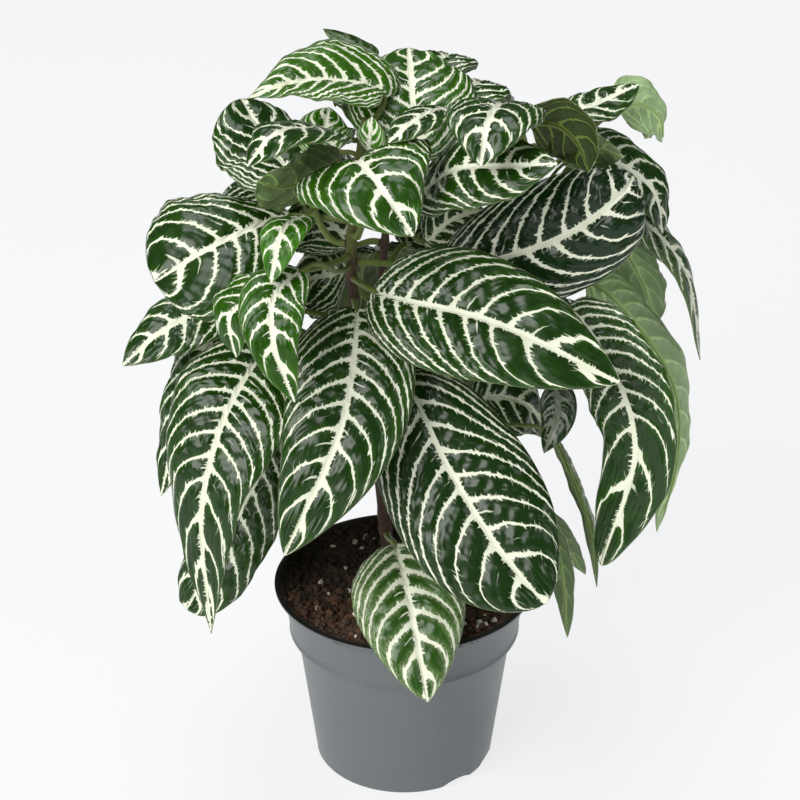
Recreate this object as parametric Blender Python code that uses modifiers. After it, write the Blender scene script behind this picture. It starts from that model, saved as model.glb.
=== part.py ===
"""Potted zebra plant: a nursery pot of peaty soil, a branching stem and its large striped leaves.

Units are metres and +Z is up. The origin is the middle of the pot's underside, and the plant
faces -Y. Routes and leaf outlines are given in millimetres.
"""
import math
import random

import bmesh
import bpy
from mathutils import Matrix, Vector
from mathutils.geometry import interpolate_bezier

MM = 0.001
OBJECT_NAME = "potted_zebra_plant"
TOUCHING_GAP = 0.3
MERGE_DISTANCE = 0.00002

# Pot, all in millimetres
POT_HEIGHT = 107.0
LIP_RADIUS = 70.0
LIP_THICKNESS = 1.8
COLLAR_TOP_RADIUS = 65.5
COLLAR_FOOT_RADIUS = 61.8
COLLAR_HEIGHT = 28.4
BODY_TOP_RADIUS = 58.2
BASE_RADIUS = 48.1
POT_WALL = 1.6
POT_FLOOR = 2.0
POT_SIDES = 40
FOOT_ARCH_WIDTH = 21.0
FOOT_ARCH_HEIGHT = 3.4
FOOT_ARCH_DEPTH = 7.0
FOOT_ARCH_BEARINGS = (37, 69, 217, 249)

# Soil, in millimetres
SOIL_EDGE_HEIGHT = 104.0
SOIL_MOUND = 2.5
CRUMB_HEIGHT = 1.1
GRAIN_RADIUS = 1.6
GRAIN_COUNT = 10
SOIL_SEED = 7
SOIL_RINGS = 5

# Stem, in millimetres: each shoot is a route and its radius at the foot and at the top
STEM_BEVEL_RESOLUTION = 2
SHOOT_STEP = 8
STEM_HOLE_RADIUS = 4.6
STEM_HOLE_DEPTH = 60.0
SHOOTS = {
    "main": ([(-8, 0, 62), (-8, 0, 104), (-11, -1, 150), (-16, -1, 200), (-22, 0, 250),
              (-27, 0, 290), (-25, 3, 330), (-19, 6, 372)], 3.8, 2.4),
    "right": ([(-11, -1, 150), (4, 10, 180), (24, 18, 222), (44, 22, 270), (58, 22, 315),
               (66, 20, 352)], 2.9, 2.0),
    "back": ([(-11, -1, 150), (-13, 12, 178), (-14, 26, 215), (-12, 36, 262), (-9, 42, 310),
              (-8, 44, 350)], 2.9, 2.0),
}

# Leaf blades, in millimetres
BLADE_THICKNESS = 0.8
MIDRIB_DEPTH = 1.3
PETIOLE_RADIUS = 1.9
WAVED_WIDTH = 45.0
TIP_HALF_WIDTH = 0.9
LEAF_BASE_FULLNESS = 0.52
FULL_BEND_HALF_WIDTH = 12.0
PATH_STEPS = 16
LARGE_LEAF_LENGTH = 105

SMOOTH_ANGLE = 40
POT_GREY = (0.20, 0.22, 0.24)
SOIL_BROWN = (0.055, 0.030, 0.018)
STEM_BROWN = (0.13, 0.06, 0.035)
GREEN = (0.018, 0.062, 0.012)
YOUNG_GREEN = (0.055, 0.16, 0.02)


class Leaf:
    """One leaf: where it grows, the line of its midrib, and how its blade bends.

    shoot and node give the shoot and the height on it where the petiole starts. midrib runs from
    the foot of the blade to its tip. roll turns the whole blade about its midrib and twist adds to
    that towards the tip, clockwise as seen from the stem. fold lifts the two halves into a valley,
    and droop then bends each half down towards its margin. All angles are in degrees.
    """

    def __init__(self, name, shoot, node, midrib, width, roll=0, twist=0, fold=14, droop=40,
                 wave=1.2, base=LEAF_BASE_FULLNESS, taper=0.85, young=False):
        self.name = name
        self.shoot = shoot
        self.node = node
        self.midrib = [Vector(point) for point in midrib]
        self.width = width
        self.roll = roll
        self.twist = twist
        self.fold = fold
        self.droop = droop
        self.wave = wave * min(1, (width / WAVED_WIDTH) ** 2)
        self.base = base
        self.taper = taper
        self.young = young


LEAVES = [
    # The large leaves that hang in front
    Leaf("leaf_front_right", "main", 288, [(-16, -22, 291), (42, -48, 287), (106, -66, 262)],
         66, roll=50, droop=30),
    Leaf("leaf_front_low", "main", 236, [(-2, -24, 241), (23, -50, 203), (47, -72, 171), (71, -88,
         147)], 80, roll=42, taper=0.62),
    Leaf("leaf_front_left", "main", 276, [(-24, -20, 280), (-30, -62, 241), (-60, -92, 178)],
         66, roll=-20),
    Leaf("leaf_front_lowest", "main", 138, [(-5, -25, 144), (4, -65, 126), (12, -92, 90)],
         60, roll=10),
    Leaf("leaf_right_upper", "main", 296, [(18, 2, 292), (54, -6, 303), (87, -12, 321), (109, -8,
         339), (115, 6, 341)], 64, roll=66, twist=10, droop=55),
    Leaf("leaf_right_low", "right", 262, [(84, -8, 274), (102, -24, 255), (117, -38, 220), (102, -48,
         145)], 56, roll=64, taper=0.62),
    # The left side
    Leaf("leaf_left_low", "main", 262, [(-68, -22, 258), (-86, -48, 243), (-100, -67, 204), (-99, -80,
         124)], 66, roll=-20, twist=30, taper=1.0),
    Leaf("leaf_left_under", "main", 205, [(-62, -4, 198), (-79, -8, 170), (-98, -16, 135), (-116, -24,
         103)], 50, roll=-30, droop=60, taper=0.36),
    Leaf("leaf_left_middle", "main", 318, [(-57, 9, 318), (-80, -12, 319), (-101, -27, 314), (-124,
         -35, 302)], 84, roll=-38, twist=26, droop=42, taper=0.42, base=0.85),
    Leaf("leaf_left_young_front", "main", 295, [(-50, -61, 321), (-63, -78, 314), (-63, -89, 297),
         (-53, -96, 267)], 33, droop=30, young=True),
    Leaf("leaf_left_young_back", "main", 300, [(-57, -50, 312), (-72, -62, 309), (-84, -71, 301),
         (-82, -74, 280)], 44, young=True),
    Leaf("leaf_left_bright", "main", 335, [(-48, -38, 340), (-59, -66, 343), (-64, -78, 322)],
         24, young=True),
    Leaf("leaf_left_far", "main", 266, [(-76, 6, 270), (-108, 4, 265), (-127, -3, 256), (-145, -10,
         242)], 38, roll=-32),
    # The top
    Leaf("leaf_top_left", "main", 306, [(-49, 3, 331), (-66, 29, 344), (-84, 55, 363)], 68, roll=8,
         taper=0.6),
    Leaf("leaf_top_rolled", "main", 362, [(-30, -8, 368), (-46, -30, 382), (-64, -52, 386), (-75, -60,
         375)], 36),
    Leaf("leaf_top_under", "main", 346, [(-33, -3, 348), (-50, -18, 349), (-61, -26, 350), (-72, -32,
         355)], 50, roll=60, fold=-14, droop=-40),
    Leaf("leaf_top_centre", "main", 312, [(-21, -15, 354), (-22, -40, 369), (-12, -62, 366), (4, -76,
         346)], 72, roll=15),
    Leaf("leaf_top_arch", "main", 370, [(-10, 18, 378), (-37, 14, 389), (-61, 6, 389), (-79, -3,
         386)], 52, roll=-20, fold=35, taper=1.6),
    Leaf("leaf_top_upright", "main", 358, [(5, 2, 357), (4, 24, 375), (3, 44, 384), (2, 62, 388)],
         68),
    Leaf("leaf_top_edge", "back", 349, [(-16, 60, 383), (-28, 75, 386), (-42, 84, 390)], 18),
    Leaf("leaf_top_droop", "right", 336, [(50, -2, 381), (45, -26, 392), (39, -50, 391),
                                          (36, -62, 376)], 50),
    Leaf("leaf_top_narrow", "right", 340, [(25, 5, 377), (12, -15, 384), (0, -30, 382),
                                           (-8, -36, 377)], 26),
    Leaf("leaf_top_side", "main", 340, [(4, -14, 341), (28, -36, 364), (51, -46, 369),
                                        (73, -52, 373)], 46, roll=40),
    Leaf("leaf_top_back_left", "back", 340, [(12, 58, 377), (22, 74, 379), (30, 92, 362)], 38),
    Leaf("leaf_top_back_right", "right", 345, [(27, 28, 368), (36, 48, 374), (57, 71, 350)], 42),
    Leaf("leaf_top_young_left", "main", 352, [(-34, 18, 350), (-40, 28, 357), (-38, 36, 366)], 32,
         young=True),
    Leaf("leaf_top_young_right", "main", 352, [(-18, -10, 361), (-17, -11, 369), (-16, -8, 379)], 22,
         young=True),
    # The right side
    Leaf("leaf_right_dark", "right", 350, [(61, -4, 374), (75, -4, 373), (86, -8, 364),
                                           (91, -14, 352)], 38, roll=-80),
    Leaf("leaf_right_olive", "right", 330, [(80, 12, 345), (98, 12, 353), (109, 4, 353)],
         24, roll=-70),
    Leaf("leaf_right_top", "right", 345, [(81, 26, 364), (100, 38, 368), (120, 52, 372)], 29,
         roll=10),
    Leaf("leaf_right_pale", "right", 335, [(110, 54, 357), (122, 62, 356), (132, 66, 347), (134, 66,
         334)], 38, roll=-138, droop=25),
    Leaf("leaf_right_back", "right", 322, [(90, 20, 346), (108, 32, 337), (128, 33, 320), (133, 26,
         300)], 42, roll=35),
    Leaf("leaf_right_hanging", "right", 310, [(93, 18, 318), (119, 30, 307), (145, 34, 277), (156, 24,
         228)], 30, roll=22),
    Leaf("leaf_right_pale_low", "right", 290, [(100, 30, 305), (120, 52, 273), (137, 66, 230)],
         50),
    Leaf("leaf_right_light", "right", 250, [(93, 12, 279), (119, 14, 254), (141, 8, 216), (143, 0,
         184), (134, -7, 141)], 58, roll=180, fold=-14, droop=-40),
    Leaf("leaf_right_small", "right", 236, [(77, -9, 232), (79, -18, 218), (72, -25, 199)], 20),
    Leaf("leaf_right_narrow", "right", 200, [(78, 12, 190), (90, 16, 163), (100, 14, 134),
                                             (105, 8, 97)], 30, roll=-25),
    Leaf("leaf_right_inner", "right", 215, [(35, 28, 202), (51, 36, 199), (68, 44, 188), (78, 48,
         168)], 44, roll=45),
    Leaf("leaf_low_back_right", "right", 186, [(64, 22, 148), (81, 34, 122), (91, 40, 101), (101, 42,
         84)], 26, roll=-25),
    Leaf("leaf_low_right", "main", 148, [(67, 8, 153), (81, 13, 127), (87, 13, 98), (90, 10, 63)], 28,
         roll=-30),
    # Leaves that show in the gaps between the others
    Leaf("leaf_inner_low", "main", 218, [(0, 6, 238), (20, -6, 227), (43, -13, 207)], 40),
    Leaf("leaf_inner_top", "main", 322, [(10, 14, 324), (22, 8, 342), (34, 3, 358)], 40),
    Leaf("leaf_left_tip", "main", 248, [(-90, 12, 262), (-112, -6, 222), (-127, -22, 172)], 44),
    Leaf("leaf_inner_left", "back", 258, [(-30, 33, 274), (-40, 34, 272), (-53, 37, 267), (-63, 37,
         253)], 52, roll=-25),
    Leaf("leaf_inner_right", "back", 272, [(0, 66, 275), (16, 74, 272), (32, 78, 250)], 44),
    Leaf("leaf_inner_high", "back", 288, [(-28, 49, 283), (-39, 56, 292), (-55, 62, 294), (-66, 64,
         285)], 54, roll=-15),
    Leaf("leaf_inner_middle", "back", 300, [(10, 46, 286), (24, 48, 297), (42, 52, 302)], 42,
         roll=25),
    # The back, which the photograph doesn't show
    Leaf("leaf_back_top", "back", 328, [(-10, 64, 356), (-12, 94, 348), (-14, 116, 314)], 54),
    Leaf("leaf_back_left_high", "back", 310, [(-32, 64, 318), (-64, 92, 306), (-86, 110, 268)],
         58),
    Leaf("leaf_back_right_high", "back", 306, [(2, 62, 290), (19, 88, 276), (35, 108, 245)], 60),
    Leaf("leaf_back_middle", "back", 268, [(-14, 62, 272), (-22, 100, 250), (-26, 122, 198)],
         66),
    Leaf("leaf_back_right_low", "back", 222, [(12, 54, 222), (38, 90, 196), (52, 110, 142)],
         64),
    Leaf("leaf_back_left_low", "back", 215, [(-36, 46, 218), (-68, 72, 194), (-90, 88, 140)],
         62),
    Leaf("leaf_left_back", "main", 228, [(-50, 16, 232), (-90, 36, 214), (-120, 48, 164)], 60),
    Leaf("leaf_right_behind", "right", 240, [(62, 40, 250), (96, 66, 236), (116, 82, 182)], 62),
    Leaf("leaf_left_back_high", "main", 326, [(-50, 30, 323), (-84, 44, 319), (-112, 50, 288)], 54),
    Leaf("leaf_back_lowest", "back", 192, [(-14, 34, 172), (-16, 74, 156), (-18, 98, 116)], 56),
]


def smooth_path(points, steps):
    """Points along a smooth curve through the given ones, with this many steps to a stretch."""
    lengths = [(end - start).length for start, end in zip(points, points[1:])]
    slopes = [(end - start).normalized() for start, end in zip(points, points[1:])]
    tangents = [slopes[0]]
    for index in range(1, len(slopes)):
        share = lengths[index - 1] / (lengths[index - 1] + lengths[index])
        tangents.append(slopes[index - 1].lerp(slopes[index], share))
    tangents.append(slopes[-1])
    path = []
    for index, length in enumerate(lengths):
        start, end = points[index], points[index + 1]
        handle_out = start + tangents[index] * length / 3
        handle_in = end - tangents[index + 1] * length / 3
        path += interpolate_bezier(start, handle_out, handle_in, end, steps + 1)[:-1]
    path.append(points[-1].copy())
    return path


def shoot_path(shoot):
    """The middle line of a shoot, in millimetres."""
    route = SHOOTS[shoot][0]
    return smooth_path([Vector(point) for point in route], PATH_STEPS)


def node_on_shoot(shoot, height):
    """The middle, direction and radius of a shoot at a height."""
    path = shoot_path(shoot)
    foot_radius, top_radius = SHOOTS[shoot][1:]
    for index, (low, high) in enumerate(zip(path, path[1:])):
        if low.z <= height <= high.z:
            share = index / (len(path) - 1)
            middle = low.lerp(high, (height - low.z) / (high.z - low.z))
            radius = foot_radius + (top_radius - foot_radius) * share
            return middle, (high - low).normalized(), radius
    raise ValueError(f"no point of the {shoot} shoot is {height} mm high")


def leaf_path(leaf):
    """The middle line of petiole and blade, and the index at which the blade starts."""
    middle, shoot_tangent, radius = node_on_shoot(leaf.shoot, leaf.node)
    outward = leaf.midrib[0] - middle
    outward.z = 0
    outward = across(outward, shoot_tangent)
    foot = middle + outward * (radius + TOUCHING_GAP)
    points = [foot, foot + outward * 3] + leaf.midrib
    return smooth_path(points, PATH_STEPS), 2 * PATH_STEPS


def leaf_frames(leaf):
    """The leaf's middle line with its tangent, side and upper direction at each point."""
    path, blade_start = leaf_path(leaf)
    tangents = [(path[1] - path[0]).normalized()]
    for before, after in zip(path, path[2:]):
        tangents.append((after - before).normalized())
    tangents.append((path[-1] - path[-2]).normalized())
    reach = leaf.midrib[-1] - leaf.midrib[0]
    ahead = Vector((reach.x, reach.y, 0)).normalized()
    start_side = ahead.cross(Vector((0, 0, 1)))
    middle = (blade_start + len(path)) // 2
    sides = [None] * len(path)
    sides[middle] = across(start_side, tangents[middle])
    for index in range(middle + 1, len(path)):
        sides[index] = across(sides[index - 1], tangents[index])
    for index in range(middle - 1, -1, -1):
        sides[index] = across(sides[index + 1], tangents[index])
    frames = []
    for index, (point, tangent, side) in enumerate(zip(path, tangents, sides)):
        if index < blade_start:
            turn = leaf.roll * index / blade_start
        else:
            turn = leaf.roll + leaf.twist * (index - blade_start) / (len(path) - 1 - blade_start)
        side = Matrix.Rotation(math.radians(turn), 3, tangent) @ side
        frames.append((point, tangent, side, side.cross(tangent)))
    return frames, blade_start


def across(direction, tangent):
    """The direction with its share along the tangent taken out."""
    return (direction - tangent * direction.dot(tangent)).normalized()


def blade_half_width(leaf, along):
    """Half the blade's width at a share of its length."""
    peak = leaf.base / (leaf.base + leaf.taper)
    highest = peak ** leaf.base * (1 - peak) ** leaf.taper
    shape = along ** leaf.base * (1 - along) ** leaf.taper / highest
    return max(leaf.width / 2 * shape, TIP_HALF_WIDTH)


def blade_section(leaf, along, across_share, half_width):
    """The sideways and upward place of a point on the blade's top, and the slope there."""
    share = abs(across_share)
    bend = min(1, half_width / FULL_BEND_HALF_WIDTH)
    fold = math.radians(leaf.fold) * bend
    droop = math.radians(leaf.droop) * bend
    slope = fold - droop * share
    out = half_width * (math.sin(fold) - math.sin(slope)) / droop
    up = half_width * (math.cos(slope) - math.cos(fold)) / droop
    ripple = math.sin(2 * math.pi * 3.5 * along + (1.3 if across_share > 0 else 0))
    up += leaf.wave * share ** 2 * ripple * bend
    return math.copysign(out, across_share), up, slope


def leaf_ring(leaf, frame, along, columns):
    """The points round the leaf at one place, along the top from left to right and back below."""
    point, tangent, side, upward = frame
    half_width = blade_half_width(leaf, max(along, 0))
    flatness = min(max(along / 0.09, 0), 1)
    flatness = flatness * flatness * (3 - 2 * flatness)
    if along < 0.5:
        half_width = max(half_width, PETIOLE_RADIUS)
    top = []
    below = []
    for column in range(columns + 1):
        share = 2 * column / columns - 1
        turn = share * math.radians(78)
        round_out = PETIOLE_RADIUS * math.sin(turn)
        round_up = PETIOLE_RADIUS * math.cos(turn)
        out, up, slope = blade_section(leaf, max(along, 0), share, half_width)
        depth = BLADE_THICKNESS
        if column * 2 == columns:
            depth += MIDRIB_DEPTH * max(0.15, 1 - max(along, 0))
        lean = math.sin(slope) * (1 if share > 0 else -1) if column * 2 != columns else 0
        low_out = out + depth * lean
        low_up = up - depth * math.cos(slope)
        for line, flat_out, flat_up, sign in ((top, out, up, 1), (below, low_out, low_up, -1)):
            place_out = round_out + (flat_out - round_out) * flatness
            place_up = sign * round_up + (flat_up - sign * round_up) * flatness
            line.append((point + side * place_out + upward * place_up) * MM)
    return top + below[::-1]


def leaf_stations(blade_start, last, blade_rings, petiole_rings):
    """The places of the rings, as an index into the path and a share of the blade's length."""
    stations = []
    for ring in range(petiole_rings):
        stations.append((blade_start * ring / petiole_rings, -1))
    for ring in range(blade_rings + 1):
        even = ring / blade_rings
        eased = 0.5 - 0.5 * math.cos(math.pi * even)
        along = 0.5 * even + 0.5 * eased
        stations.append((blade_start + (last - blade_start) * along, along))
    return stations


def triangulate_alike(grid, columns):
    """Split the blade's faces so that a diagonal below lies under the one above it."""
    around = 2 * (columns + 1)
    upper = []
    lower = []
    for face in grid.faces:
        column = min(vert.index for vert in face.verts) % (around + 1)
        if columns < column < around - 1:
            lower.append(face)
        else:
            upper.append(face)
    bmesh.ops.triangulate(grid, faces=upper, quad_method="FIXED")
    bmesh.ops.triangulate(grid, faces=lower, quad_method="ALTERNATE")


def make_leaf(leaf):
    """A leaf as one closed skin, round at the petiole and a thin blade from there on."""
    frames, blade_start = leaf_frames(leaf)
    last = len(frames) - 1
    length = sum((b[0] - a[0]).length for a, b in zip(frames[blade_start:], frames[blade_start + 1:]))
    large = length > LARGE_LEAF_LENGTH
    columns = 6 if large else 4
    blade_rings = 10 if large else 8
    stations = leaf_stations(blade_start, last, blade_rings, 3)
    rings = []
    for place, along in stations:
        low = min(int(place), last - 1)
        share = place - low
        here, after = frames[low], frames[low + 1]
        frame = [first.lerp(second, share) for first, second in zip(here, after)]
        rings.append(leaf_ring(leaf, frame, along, columns))
    around = 2 * (columns + 1)
    grid = bmesh.new()
    bmesh.ops.create_grid(grid, x_segments=around, y_segments=len(rings) - 1, size=1)
    grid.verts.index_update()
    for index, vert in enumerate(grid.verts):
        ring, place = divmod(index, around + 1)
        vert.co = rings[ring][place % around]
    triangulate_alike(grid, columns)
    bmesh.ops.remove_doubles(grid, verts=grid.verts, dist=MERGE_DISTANCE)
    ends = [edge for edge in grid.edges if edge.is_boundary]
    bmesh.ops.holes_fill(grid, edges=ends)
    bmesh.ops.recalc_face_normals(grid, faces=grid.faces)
    if grid.calc_volume(signed=True) < 0:
        bmesh.ops.reverse_faces(grid, faces=grid.faces)
    leaf_object = new_object(leaf.name, grid)
    finish(leaf_object, YOUNG_GREEN if leaf.young else GREEN, 0.32)
    return leaf_object


def new_object(name, grid, collection=OBJECT_NAME):
    """An object in a collection from a bmesh, which is freed."""
    mesh = bpy.data.meshes.new(name)
    grid.to_mesh(mesh)
    grid.free()
    made = bpy.data.objects.new(name, mesh)
    bpy.data.collections[collection].objects.link(made)
    return made


def finish(target, colour, roughness):
    """A plain material of the piece's own colour."""
    material = bpy.data.materials.new(target.name)
    material.use_nodes = True
    shader = material.node_tree.nodes["Principled BSDF"]
    shader.inputs["Base Color"].default_value = (*colour, 1)
    shader.inputs["Roughness"].default_value = roughness
    shader.inputs["Metallic"].default_value = 0
    target.data.materials.append(material)
    target.data.shade_smooth()
    target.data.set_sharp_from_angle(angle=math.radians(SMOOTH_ANGLE))


def turned(name, profile, sides):
    """A solid of revolution from a profile that runs down its outer side, top to bottom."""
    outline = bmesh.new()
    verts = [outline.verts.new((radius * MM, 0, height * MM)) for radius, height in profile]
    for start, end in zip(verts, verts[1:]):
        outline.edges.new((start, end))
    made = new_object(name, outline)
    screw = made.modifiers.new("turn", "SCREW")
    screw.steps = sides
    screw.render_steps = sides
    screw.use_merge_vertices = True
    screw.merge_threshold = MERGE_DISTANCE
    return made


def join_by_boolean(target, tool, operation):
    """Cut a tool, or a collection of tools, into an object or out of it when it is read."""
    cut = target.modifiers.new(operation.lower(), "BOOLEAN")
    cut.operation = operation
    if isinstance(tool, bpy.types.Collection):
        cut.operand_type = "COLLECTION"
        cut.collection = tool
    else:
        cut.object = tool


def make_cutter(name, grid):
    """A tool that shapes another piece and isn't part of the plant."""
    cutter = new_object(name, grid, "cutters")
    cutter.hide_render = True
    cutter.display_type = "WIRE"
    return cutter


def wall_radius(height):
    """The pot's outer radius at a height below its collar."""
    share = height / (POT_HEIGHT - COLLAR_HEIGHT)
    return BASE_RADIUS + (BODY_TOP_RADIUS - BASE_RADIUS) * share


def make_pot():
    """The nursery pot: a flat lip, a collar, a tapering wall and a flat base with drain arches."""
    collar_foot = POT_HEIGHT - COLLAR_HEIGHT
    profile = [
        (LIP_RADIUS, POT_HEIGHT),
        (LIP_RADIUS, POT_HEIGHT - LIP_THICKNESS),
        (COLLAR_TOP_RADIUS, POT_HEIGHT - LIP_THICKNESS - 0.6),
        (COLLAR_FOOT_RADIUS, collar_foot),
        (BODY_TOP_RADIUS, collar_foot - 1),
        (BASE_RADIUS + 0.3, 2.5),
        (BASE_RADIUS - 1, 0),
        (0, 0),
        (0, POT_FLOOR),
        (wall_radius(POT_FLOOR) - POT_WALL, POT_FLOOR),
        (BODY_TOP_RADIUS - POT_WALL, collar_foot - 1),
        (COLLAR_FOOT_RADIUS - POT_WALL, collar_foot + POT_WALL),
        (COLLAR_TOP_RADIUS - POT_WALL, POT_HEIGHT),
        (LIP_RADIUS, POT_HEIGHT),
    ]
    pot = turned("pot", profile, POT_SIDES)
    arch_radius = (FOOT_ARCH_WIDTH ** 2 / 4 + FOOT_ARCH_HEIGHT ** 2) / (2 * FOOT_ARCH_HEIGHT)
    for bearing in FOOT_ARCH_BEARINGS:
        roller = bmesh.new()
        bmesh.ops.create_cone(roller, cap_ends=True, segments=32, radius1=arch_radius * MM,
                              radius2=arch_radius * MM, depth=FOOT_ARCH_DEPTH * MM)
        arch = make_cutter(f"foot_arch_{bearing}", roller)
        angle = math.radians(bearing)
        outward = Vector((math.sin(angle), -math.cos(angle), 0))
        arch.location = outward * BASE_RADIUS * MM
        arch.location.z = (FOOT_ARCH_HEIGHT - arch_radius) * MM
        arch.rotation_euler = (math.pi / 2, 0, angle)
        join_by_boolean(pot, arch, "DIFFERENCE")
    finish(pot, POT_GREY, 0.45)
    return pot


def soil_height(x, y):
    """The soil's height at a place: a low mound with crumbs on it."""
    reach = min(math.hypot(x, y) / COLLAR_FOOT_RADIUS, 1)
    height = SOIL_EDGE_HEIGHT + SOIL_MOUND * (1 - reach ** 2)
    crumbs = math.sin(x * 0.61 + y * 0.23) * math.sin(y * 0.57 - x * 0.31)
    crumbs += 0.6 * math.sin(x * 1.3 + 2.1) * math.sin(y * 1.17 + 0.7)
    return height + CRUMB_HEIGHT * crumbs * (1 - reach ** 6)


def make_soil():
    """The block of soil that fills the pot, with grains pressed into its top and a stem hole."""
    collar_foot = POT_HEIGHT - COLLAR_HEIGHT
    bottom = POT_FLOOR + TOUCHING_GAP
    gap = POT_WALL + TOUCHING_GAP
    collar_share = (SOIL_EDGE_HEIGHT - collar_foot) / COLLAR_HEIGHT
    edge = COLLAR_FOOT_RADIUS + (COLLAR_TOP_RADIUS - COLLAR_FOOT_RADIUS) * collar_share - gap
    rings = [edge * (1 - index / SOIL_RINGS) for index in range(1, SOIL_RINGS + 1)]
    profile = [(radius, SOIL_EDGE_HEIGHT) for radius in reversed(rings)]
    profile += [
        (edge - TOUCHING_GAP, SOIL_EDGE_HEIGHT),
        (COLLAR_FOOT_RADIUS - gap - TOUCHING_GAP, collar_foot + POT_WALL + 1),
        (BODY_TOP_RADIUS - gap - TOUCHING_GAP, collar_foot),
        (wall_radius(bottom) - gap - TOUCHING_GAP, bottom),
        (0, bottom),
    ]
    soil = turned("soil", profile, POT_SIDES)
    bpy.context.view_layer.objects.active = soil
    bpy.ops.object.modifier_apply(modifier="turn")
    for vert in soil.data.vertices:
        x, y, z = vert.co / MM
        if z > SOIL_EDGE_HEIGHT - 0.1 and math.hypot(x, y) < edge - 2:
            vert.co.z = soil_height(x, y) * MM
    join_by_boolean(soil, make_grains(), "UNION")
    middle = Vector(SHOOTS["main"][0][0])
    drill = bmesh.new()
    bmesh.ops.create_cone(drill, cap_ends=True, segments=16, radius1=STEM_HOLE_RADIUS * MM,
                          radius2=STEM_HOLE_RADIUS * MM, depth=STEM_HOLE_DEPTH * MM)
    hole = make_cutter("stem_hole", drill)
    hole.location = (middle.x * MM, middle.y * MM,
                     (middle.z - TOUCHING_GAP + STEM_HOLE_DEPTH / 2) * MM)
    join_by_boolean(soil, hole, "DIFFERENCE")
    finish(soil, SOIL_BROWN, 0.95)
    return soil


def make_grains():
    """White grains, each sunk half into the soil's top, clear of the stem and of each other."""
    grains = bpy.data.collections.new("grains")
    bpy.context.scene.collection.children.link(grains)
    draw = random.Random(SOIL_SEED)
    golden = math.pi * (3 - math.sqrt(5))
    for index in range(GRAIN_COUNT):
        reach = 16 + 38 * math.sqrt((index + 0.5) / GRAIN_COUNT)
        angle = golden * index + draw.uniform(-0.1, 0.1)
        x, y = reach * math.cos(angle), reach * math.sin(angle)
        radius = GRAIN_RADIUS * draw.uniform(0.8, 1.3)
        ball = bmesh.new()
        bmesh.ops.create_icosphere(ball, subdivisions=1, radius=radius * MM)
        grain = new_object(f"grain_{index}", ball, "grains")
        grain.location = Vector((x, y, soil_height(x, y))) * MM
        grain.hide_render = True
        grain.display_type = "WIRE"
    return grains


def make_stem():
    """The woody stem: a main shoot and two side shoots that grow out of it, as one piece."""
    tubes = [make_shoot(name) for name in SHOOTS]
    stem = tubes[0]
    stem.name = "stem"
    for tube in tubes[1:]:
        join_by_boolean(stem, tube, "UNION")
    finish(stem, STEM_BROWN, 0.6)
    return stem


def make_shoot(name):
    """One shoot as a tube that thins upwards, turned from a curve into a mesh."""
    foot_radius, top_radius = SHOOTS[name][1:]
    path = shoot_path(name)[::SHOOT_STEP]
    line = bpy.data.curves.new(f"shoot_{name}", "CURVE")
    line.dimensions = "3D"
    line.bevel_depth = MM
    line.bevel_resolution = STEM_BEVEL_RESOLUTION
    line.use_fill_caps = True
    line.render_resolution_u = 0
    spline = line.splines.new("POLY")
    spline.points.add(len(path) - 1)
    for index, (point, place) in enumerate(zip(spline.points, path)):
        point.co = (*(place * MM), 1)
        point.radius = foot_radius + (top_radius - foot_radius) * index / (len(path) - 1)
    curve = bpy.data.objects.new(f"shoot_{name}", line)
    bpy.context.scene.collection.objects.link(curve)
    bpy.context.view_layer.update()
    seen = curve.evaluated_get(bpy.context.evaluated_depsgraph_get())
    grid = bmesh.new()
    grid.from_mesh(bpy.data.meshes.new_from_object(seen))
    bmesh.ops.remove_doubles(grid, verts=grid.verts, dist=MERGE_DISTANCE)
    bmesh.ops.recalc_face_normals(grid, faces=grid.faces)
    bpy.data.objects.remove(curve)
    if name == "main":
        return new_object("stem", grid)
    return make_cutter(f"shoot_{name}_mesh", grid)


def make_leaves():
    """Every leaf of the plant."""
    for leaf in LEAVES:
        make_leaf(leaf)


def start_collections():
    """Empty the scene and make one collection for the plant and one for the cutters."""
    for old in list(bpy.data.objects):
        bpy.data.objects.remove(old)
    for name in (OBJECT_NAME, "cutters"):
        collection = bpy.data.collections.new(name)
        bpy.context.scene.collection.children.link(collection)


def main():
    start_collections()
    make_pot()
    make_soil()
    make_stem()
    make_leaves()


if __name__ == "__main__":
    main()
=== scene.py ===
"""The looks of a potted zebra plant: striped leaves on a branching stem, in a nursery pot of peat.

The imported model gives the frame. Every leaf, the stem, the soil and the pot are modelled again
here in fine detail, in the same places, and get materials made of shader nodes.
"""
import math
import random
from functools import partialmethod

import bpy
import numpy as np
from mathutils import Matrix, Vector, noise
from mathutils.geometry import interpolate_bezier


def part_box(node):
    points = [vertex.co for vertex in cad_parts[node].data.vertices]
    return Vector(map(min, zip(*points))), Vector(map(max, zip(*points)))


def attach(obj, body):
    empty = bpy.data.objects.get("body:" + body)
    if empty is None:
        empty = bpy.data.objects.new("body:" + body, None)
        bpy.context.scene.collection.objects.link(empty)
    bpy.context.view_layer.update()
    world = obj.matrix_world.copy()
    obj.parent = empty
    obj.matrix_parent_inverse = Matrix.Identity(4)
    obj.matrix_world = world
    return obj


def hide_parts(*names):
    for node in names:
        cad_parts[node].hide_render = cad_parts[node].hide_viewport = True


bl_info = {
    "name": "Potted zebra plant",
    "version": (1, 0, 0),
    "blender": (4, 5, 0),
    "location": "3D View > Sidebar > Zebra plant",
    "description": "Models a potted zebra plant around its packed solids",
    "category": "Add Mesh",
}

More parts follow.
